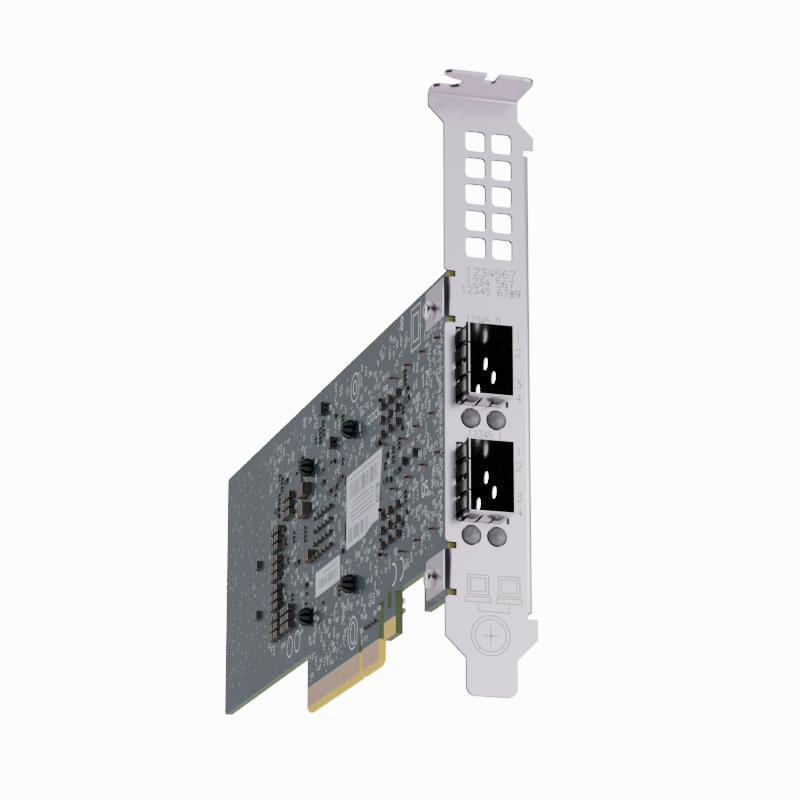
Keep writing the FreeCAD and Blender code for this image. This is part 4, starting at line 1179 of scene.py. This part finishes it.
def light_tips(shape, seals, node, step):
    """Ringed tips of a light guide, a hair proud of its own, and the dark collars behind the bracket."""
    low, high = low_high(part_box(node))
    z = (low.z + high.z) / 2
    bore = (high.z - low.z) / 2
    radius, dome, ridge, groove = bore * 0.90, 0.3, 0.16 * MM, 0.06 * MM
    profile = [(dome * radius, 0.0)]
    for index in range(1, int(radius / step) + 1):
        height = ridge if index % 2 else groove
        profile.append((height + dome * (radius - index * step), index * step))
    profile += [(0.10 * MM, radius * 0.97), (0.0, radius), (-0.05 * MM, radius)]
    inner, outer, deep = bore - 0.02 * MM, bore + 0.7 * MM, 0.12 * MM
    gasket = [(0.0, inner), (0.0, outer), (-deep, outer), (-deep, inner), (0.0, inner)]
    left, apart = front(5.2, 0).x, 5.1 * MM
    for x in (left, left + apart):
        turned(shape, profile, Vector((x, low.y, z)), (0, -1, 0), 48)
        turned(seals, gasket, Vector((x, BACK_Y, z)), (0, -1, 0), 32)


def add_lamps():
    """Lamp bodies: a clear lens on a white base with tinned ends."""
    base, lens, ends = bmesh.new(), bmesh.new(), bmesh.new()
    half, lap = 0.12 * MM, 0.04 * MM
    inset = Vector((0, 0.25 * MM, 0.08 * MM))
    for low, high in islands("status_lamps"):
        top = low.lerp(high, 0.4).x
        block(base, low, (top, high.y, high.z), 0.05 * MM)
        block(lens, Vector((top, low.y, low.z)) + inset, high - inset, 0.1 * MM, 3)
        for y in (low.y, high.y):
            block(ends, (low.x, y - half, low.z), (top + lap, y + half, high.z), 0.04 * MM)
    white = moulded("lamp_base", (0.75, 0.75, 0.72), 0.4)
    piece("lamp_bases", base, white, slot="lamp", stands_for=("status_lamps",))
    piece("lamp_lenses", lens, moulded("lamp_lens", (0.80, 0.74, 0.45), 0.15, second=0.9), slot="lamp")
    piece("lamp_ends", ends, metal("lamp_tin", (0.62, 0.60, 0.58), 0.3), slot="bright_steel")


class CARD_OT_cooling(CardOperator):
    """Controller, heat sink, its pad, pins and springs"""
    bl_idname = "card.cooling"
    bl_label = "Cooling"

    def execute(self, context):
        settings = context.scene.card_cooling
        dress(chip_lid(), "controller_chip")
        dress(moulded("thermal_pad", (0.30, 0.31, 0.36), 0.8, 0.03), "thermal_pad")
        aluminium = metal("sink_aluminium", settings.aluminium, 0.42, 0.01, (2500.0, 2500.0, 90.0))
        dress(aluminium, "heat_sink")
        nylon = moulded("pin_nylon", settings.nylon, 0.42, 0.015, second=1.3, Specular_IOR_Level=0.3)
        pins = islands("push_pins")
        shape = bmesh.new()
        for low, high in pins:
            push_pin(shape, low, high)
        piece("sink_pins", shape, nylon, slot="dark_nylon", stands_for=("push_pins",))
        add_springs(pins, settings.wire / 2, settings.turns)
        return {"FINISHED"}


def chip_lid():
    """Green laminate below, a nickel lid above."""
    finish = Finish("chip_lid")
    light, dark, green = four((0.62, 0.62, 0.63)), four((0.50, 0.50, 0.52)), four((0.02, 0.10, 0.05))
    rolled = finish.group("rolled", Stretch=(300.0, 300.0, 300.0), First=light, Second=dark)
    lid = calc(finish.tree, "GREATER_THAN", finish.split()[0], PARTS_X + 1.26 * MM)
    finish.look(Metallic=lid)
    return finish.parted(lid, green, rolled["Colour"], (0.3, 0.38), rolled["Height"], 0.01)


def push_pin(shape, low, high):
    """A domed head hollowed in its middle, a square leg and eight ribs behind the board."""
    y, z = (low.y + high.y) / 2, (low.z + high.z) / 2
    half, radius = 0.86 * MM, 2.5 * MM
    head = [(-0.35, 0.0), (-0.35, 0.32), (0.0, 0.45), (-0.12, 0.8), (-0.4, 1.0), (-1.0, 1.0), (-1.0, 0.0)]
    head = [(along * PIN_CAP, out * radius) for along, out in head]
    turned(shape, head, Vector((high.x, y, z)), (1, 0, 0), 28)
    block(shape, (SOLDER_X - 0.1 * MM, y - half, z - half), (high.x - PIN_CAP, y + half, z + half), 0.1 * MM)
    tall = SOLDER_X - low.x
    barb = min((high.z - low.z) / 2, 2.05 * MM)
    lobe = [(0.04, 0.12), (0.04, 0.82), (0.12, 0.97), (0.35, 1.0), (0.62, 0.92), (0.86, 0.72), (1.0, 0.48),
            (1.0, 0.12), (0.04, 0.12)]
    lobe = [(along * tall, out * barb) for along, out in lobe]
    ribs = 8
    share = math.tau / ribs
    for rib in range(ribs):
        turned(shape, lobe, Vector((SOLDER_X, y, z)), (-1, 0, 0), 3, share * (rib + 0.24), share * 0.52)


def add_springs(pins, wire, turns):
    """A spring of round wire, given by its radius, between the sink's base and the head of each pin."""
    base_thick, radius = 1.8 * MM, 1.75 * MM
    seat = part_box("heat_sink")[0][0] + base_thick + wire
    head = pins[0][1].x - PIN_CAP
    base = points_mesh("spring", [(seat, (low.y + high.y) / 2, (low.z + high.z) / 2) for low, high in pins])
    steel = metal("spring_steel", (0.60, 0.60, 0.60), 0.25)
    mesh = grow("pin_springs", base, "spring", Turns=turns, Radius=radius, Wire=wire,
                Height=head - seat - wire, Finish=steel)
    piece("pin_springs", mesh, slot="bright_steel")


class CARD_OT_components(CardOperator):
    """Chips, capacitors, coils, resistors and the crystal"""
    bl_idname = "card.components"
    bl_label = "Components"

    def execute(self, context):
        settings = context.scene.card_parts
        tin = metal("tinned_ends", settings.tin, 0.33, 0.006, (900.0, 900.0, 900.0), 0.85)
        ceramic = moulded("fired_ceramic", settings.ceramic, 0.38, 0.02, second=0.55)
        tantalum = moulded("tantalum_case", settings.tantalum, 0.42, 0.02, second=0.7)
        ferrite = moulded("pressed_ferrite", (0.045, 0.045, 0.050), 0.55, 0.05, 1800.0)
        epoxy = moulded("chip_epoxy", settings.epoxy, 0.42, 0.012, second=1.5)
        for name, nodes, half, bevel, body, slot in (
            ("ceramic_capacitor", CERAMICS, 0.37, 0.05, ceramic, "ceramic_cap"),
            ("tantalum_capacitor", TANTALUMS, 0.42, 0.07, tantalum, "tantalum"),
            ("filter_bead", ("filter_beads",), 0.33, 0.05, ferrite, "ferrite"),
            ("power_coil", ("power_inductors",), 0.44, 0.10, ferrite, "ferrite"),
        ):
            two_ended(name, nodes, half, bevel, body, tin, slot)
        chip_packages(epoxy, tin, settings.lead_step)
        add_crystal(tin)
        add_resistors(tin, epoxy)
        return {"FINISHED"}


def end_blocks(shape, inner, bevel, segments=2):
    """Both ends of a two-ended body of unit size."""
    for side in (-1, 1):
        near, far = sorted((inner * side, 0.5 * side))
        block(shape, (-0.5, near, -0.5), (0.5, far, 0.5), bevel, segments)


def two_ended(name, nodes, half, bevel, material, tin, slot):
    """A coated middle and a tinned cap with its solder at each end; the templates' foot faces +X."""
    stations = [((low + high) / 2, (0, 0, math.pi if low.x > 0 else 0), high - low)
                for low, high in islands(*nodes)]
    middle = bmesh.new()
    block(middle, (-0.47, -half, -0.46), (0.42, half, 0.46), bevel)
    copies(f"{name}_bodies", middle, stations, material, slot, nodes)
    ends = bmesh.new()
    end_blocks(ends, half - 0.03, 0.06)
    for side in (-1, 1):
        foot, toe = 0.49 * side, 0.66 * side
        solder = [(0.49, foot), (0.49, toe), (0.38, toe - 0.06 * side), (-0.10, foot)]
        skin(ends, [[(x, y, z) for x, y in solder] for z in (-0.46, 0.46)])
    copies(f"{name}_ends", ends, stations, tin, "bright_steel")


def add_resistors(tin, epoxy):
    """Small chip resistors on both sides: a dark body between two tinned ends."""
    tall, long, wide = 0.35, 1.1, 0.55
    size = (tall * MM, long * MM, wide * MM)
    quarter = math.pi / 2
    stations = [
        (point(y, z, tall / 2), (quarter if upright else 0, 0, turn), size)
        for point, turn, rows in (
            (spot, 0, solder_resistors(solder_taken())), (over, math.pi, parts_resistors(parts_taken())),
        )
        for y, z, upright in rows
    ]
    middle, ends = bmesh.new(), bmesh.new()
    block(middle, (-0.48, -0.32, -0.48), (0.49, 0.32, 0.48))
    end_blocks(ends, 0.28, 0.05, 1)
    copies("resistor_bodies", middle, stations, epoxy, "chip")
    copies("resistor_ends", ends, stations, tin, "bright_steel")


def chip_packages(epoxy, tin, step):
    """Moulded bodies with a split line and a first-lead dimple, and gull-wing leads on two sides."""
    bodies = bmesh.new()
    leads = []
    for low, high in islands(*CHIPS):
        side = 1 if low.x > 0 else -1
        reach = min(0.9 * MM, (high.y - low.y) * 0.16)
        foot = low.x if side > 0 else high.x
        tall = high.x - low.x
        chip_body(bodies, foot, side, tall, low, high, reach)
        total = max(2, int((high.z - low.z) / step))
        gap = (high.z - low.z) / total
        size = (tall, reach, min(gap * 0.5, 0.4 * MM))
        for index in range(total):
            for y, turn in ((high.y, 0.0), (low.y, math.pi)):
                spin = (turn, 0, 0) if side < 0 else (math.pi - turn, 0, math.pi)
                leads.append(((foot, y, low.z + gap * (index + 0.5)), spin, size))
    piece("chip_bodies", bodies, epoxy, slot="chip", stands_for=CHIPS)
    lead = bmesh.new()
    line = [(0.0, 0.0), (0.0, -0.45), (-0.42, -0.60), (-0.42, -1.25), (-0.56, -1.25), (-0.56, -0.50),
            (-0.14, -0.34), (-0.14, 0.0)]
    skin(lead, [[(x, y, z) for x, y in line] for z in (-0.5, 0.5)])
    copies("chip_leads", lead, leads, tin, "bright_steel")


def chip_body(shape, foot, side, tall, low, high, reach):
    """Two tapered halves that meet at a split line, with the dimple on the free face."""
    middle = (low + high) / 2
    half_y = (high.y - low.y) / 2 - reach * 0.9
    half_z = (high.z - low.z) / 2
    skin(shape, [
        [(foot + side * tall * along, middle.y + a * half_y * share, middle.z + b * half_z * share)
         for a, b in CORNERS]
        for along, share in ((0.10, 0.93), (0.48, 1.0), (0.52, 1.0), (0.94, 0.95), (1.0, 0.91))
    ])
    small = min(half_y, half_z)
    dimple = Vector((foot + side * tall, middle.y + half_y * 0.62, middle.z + half_z * 0.62))
    hollow = [(0.0, small * 0.16), (0.012 * MM, small * 0.13), (0.0, small * 0.10)]
    turned(shape, hollow, dimple, (side, 0, 0), 12)


def add_crystal(tin):
    """A seam-welded lid on its ceramic base."""
    low, high = low_high(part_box("crystal"))
    base, lid = bmesh.new(), bmesh.new()
    block(base, low, (low.x + 0.45 * MM, high.y, high.z), 0.15 * MM)
    inset = Vector((0, 0.25 * MM, 0.25 * MM))
    seam = inset * 0.4
    block(lid, Vector((low.x + 0.40 * MM, low.y, low.z)) + inset, high - inset, 0.25 * MM, 4)
    block(lid, Vector((low.x + 0.42 * MM, low.y, low.z)) + seam,
          Vector((low.x + 0.52 * MM, high.y, high.z)) - seam, 0.04 * MM)
    piece("crystal_base", base, moulded("base_ceramic", (0.30, 0.25, 0.18), 0.5), slot="ceramic_cap")
    piece("crystal_lid", lid, tin, slot="crystal_can", stands_for=("crystal",))


class CARD_OT_labels(CardOperator):
    """Paper labels with plain bars, lines and squares"""
    bl_idname = "card.labels"
    bl_label = "Labels"

    def execute(self, context):
        paper = moulded("label_paper", (0.78, 0.81, 0.93), 0.5, 0.008, 1200.0, 0.93)
        dress(paper, "product_label", "number_label")
        dice = random.Random(3)
        shape = bmesh.new()
        label_bars(shape, dice)
        for z in (52.4, 51.5, 50.4, 49.5, 48.5):
            words(shape, dice, 49.6, 66.8 - 3.0 * dice.random(), z, 0.6)
        words(shape, dice, 45.5, 66.0, 57.7, 0.6)
        words(shape, dice, 75.2, 86.0, 42.4, 0.5)
        label_squares(shape, dice)
        piece("label_print", shape, moulded("label_ink", (0.25, 0.24, 0.30), 0.6), slot="label", printed=True)
        return {"FINISHED"}


def label_bars(shape, dice):
    """Three rows of upright bars of uneven width."""
    for y, end, low, high in ((46.5, 66.0, 53.6, 56.9), (53.6, 67.2, 44.5, 47.4), (75.2, 89.6, 39.6, 41.6)):
        while y < end:
            sheet(shape, LABEL_LIFT, y, low, y + dice.choice((0.2, 0.3, 0.45)), high)
            y += dice.choice((0.5, 0.65, 0.85))


def words(shape, dice, y, end, z, tall):
    """A line of short dashes, as small print looks from afar."""
    while y < end:
        wide = dice.uniform(0.6, 2.2)
        sheet(shape, LABEL_LIFT, y, z, min(y + wide, end), z + tall * 0.6)
        y += wide + 0.35


def label_squares(shape, dice):
    """A framed field of small squares."""
    across, up, cell = 8, 11, 0.36
    for a in range(across):
        for b in range(up):
            if dice.random() < 0.5 or a in (0, across - 1) or b in (0, up - 1):
                y, z = 45.0 + a * cell, 48.4 + b * cell
                sheet(shape, LABEL_LIFT, y, z, y + 0.95 * cell, z + 0.95 * cell)


class CARD_OT_stage(CardOperator):
    """Floor, lights and camera"""
    bl_idname = "card.stage"
    bl_label = "Stage"

    def execute(self, context):
        settings = context.scene.card_stage
        add_floor(settings)
        add_world(settings)
        add_lights(settings)
        add_camera(settings)
        return {"FINISHED"}


def add_floor(settings):
    mesh = bpy.data.meshes.new("floor")
    half = 3.0
    level = CAD_BOX[0][2] - settings.floor_drop
    corners = [(MIDDLE.x + a * half, MIDDLE.y + b * half, level) for a, b in CORNERS]
    mesh.from_pydata(corners, [], [(0, 1, 2, 3)])
    finish = Finish("floor_paper", Roughness=0.9, Emission_Color=(1.0, 1.0, 1.0, 1.0), Emission_Strength=0.20)
    grain = finish.group("grain", Size=40.0, Drift_size=0.6, First=grey(0.80), Second=grey(0.84))
    mesh.materials.append(finish.look(Base_Color=grain["Colour"]))
    floor = put("floor", mesh)


def add_world(settings):
    """A white sweep behind the card and soft panels that its metal mirrors."""
    world = bpy.data.worlds.new("studio")
    world.use_nodes = True
    tree = world.node_tree
    way = add(tree, "ShaderNodeTexCoord").outputs["Generated"]
    glow, least, seen_glow = 0.45, 0.02, 13.0
    for aim, inner, outer, change in SOFT_PANELS:
        near = vector(tree, "DOT_PRODUCT", way, Vector(aim).normalized())["Value"]
        rim, core = (math.cos(math.radians(angle)) for angle in (outer, inner))
        share = add(tree, "ShaderNodeMapRange", {0: near, 1: rim, 2: core, 4: change},
                    interpolation_type="SMOOTHSTEP")
        glow = calc(tree, "ADD", glow, share.outputs[0])
    seen = add(tree, "ShaderNodeLightPath").outputs["Is Camera Ray"]
    lit = calc(tree, "MAXIMUM", glow, least)
    strength = add(tree, "ShaderNodeMix", {0: seen, 2: lit, 3: seen_glow}, data_type="FLOAT").outputs[0]
    tone = blend(tree, seen, four(settings.glow), four(settings.backdrop))
    feed(tree, tree.nodes["Background"].inputs, {"Color": tone, "Strength": strength})
    bpy.context.scene.world = world


def add_lights(settings):
    for name, place, size, watts in (
        ("key_light", (0.85, -1.1, -0.1), 0.9, settings.key_power),
        ("fill_light", (-1.0, 0.85, 0.2), 0.8, settings.fill_power),
    ):
        light = bpy.data.lights.new(name, "AREA")
        light.size = size
        light.energy = watts
        thing = put(name, light)
        thing.location = MIDDLE + Vector(place)
        thing.rotation_euler = (-Vector(place)).to_track_quat("-Z", "Y").to_euler()


def add_camera(settings):
    camera = bpy.data.cameras.new("camera")
    camera.lens = settings.lens
    camera.sensor_width = 36.0
    camera.clip_start = 0.01
    right = Vector((0.95485, -0.29707, 0.00038))
    forward = Vector((0.28545, 0.91784, 0.27582))
    turn = Matrix((right, right.cross(forward), -forward)).transposed().to_4x4()
    thing = put("camera", camera)
    thing.matrix_world = Matrix.Translation((-0.2089, -0.6960, -0.1500)) @ turn
    bpy.context.scene.camera = thing


class CARD_PT_panel(bpy.types.Panel):
    """Lists the card's operators and settings"""
    bl_label = "Network card"
    bl_idname = "CARD_PT_panel"
    bl_space_type = "VIEW_3D"
    bl_region_type = "UI"
    bl_category = "Card"

    def draw(self, context):
        for operator in OPERATORS:
            self.layout.operator(operator.bl_idname)
        for name, settings in SETTINGS.items():
            box = self.layout.box()
            for entry in settings.__annotations__:
                box.prop(getattr(context.scene, name), entry)


OPERATORS = (
    CARD_OT_board, CARD_OT_plating, CARD_OT_legend, CARD_OT_contacts, CARD_OT_bracket, CARD_OT_fasteners,
    CARD_OT_ports, CARD_OT_cooling, CARD_OT_components, CARD_OT_labels, CARD_OT_stage,
)
SETTINGS = {
    "card_board": CardBoardSettings,
    "card_bracket": CardBracketSettings,
    "card_port": CardPortSettings,
    "card_cooling": CardCoolingSettings,
    "card_parts": CardPartsSettings,
    "card_stage": CardStageSettings,
}


def register():
    for name, settings in SETTINGS.items():
        bpy.utils.register_class(settings)
        setattr(bpy.types.Scene, name, bpy.props.PointerProperty(type=settings))
    for kind in (*OPERATORS, CARD_PT_panel):
        bpy.utils.register_class(kind)


def unregister():
    for kind in (*reversed(OPERATORS), CARD_PT_panel):
        bpy.utils.unregister_class(kind)
    for name, settings in SETTINGS.items():
        delattr(bpy.types.Scene, name)
        bpy.utils.unregister_class(settings)


def main():
    register()
    for operator in OPERATORS:
        group, name = operator.bl_idname.split(".")
        getattr(getattr(bpy.ops, group), name)()


if __name__ == "__main__":
    main()
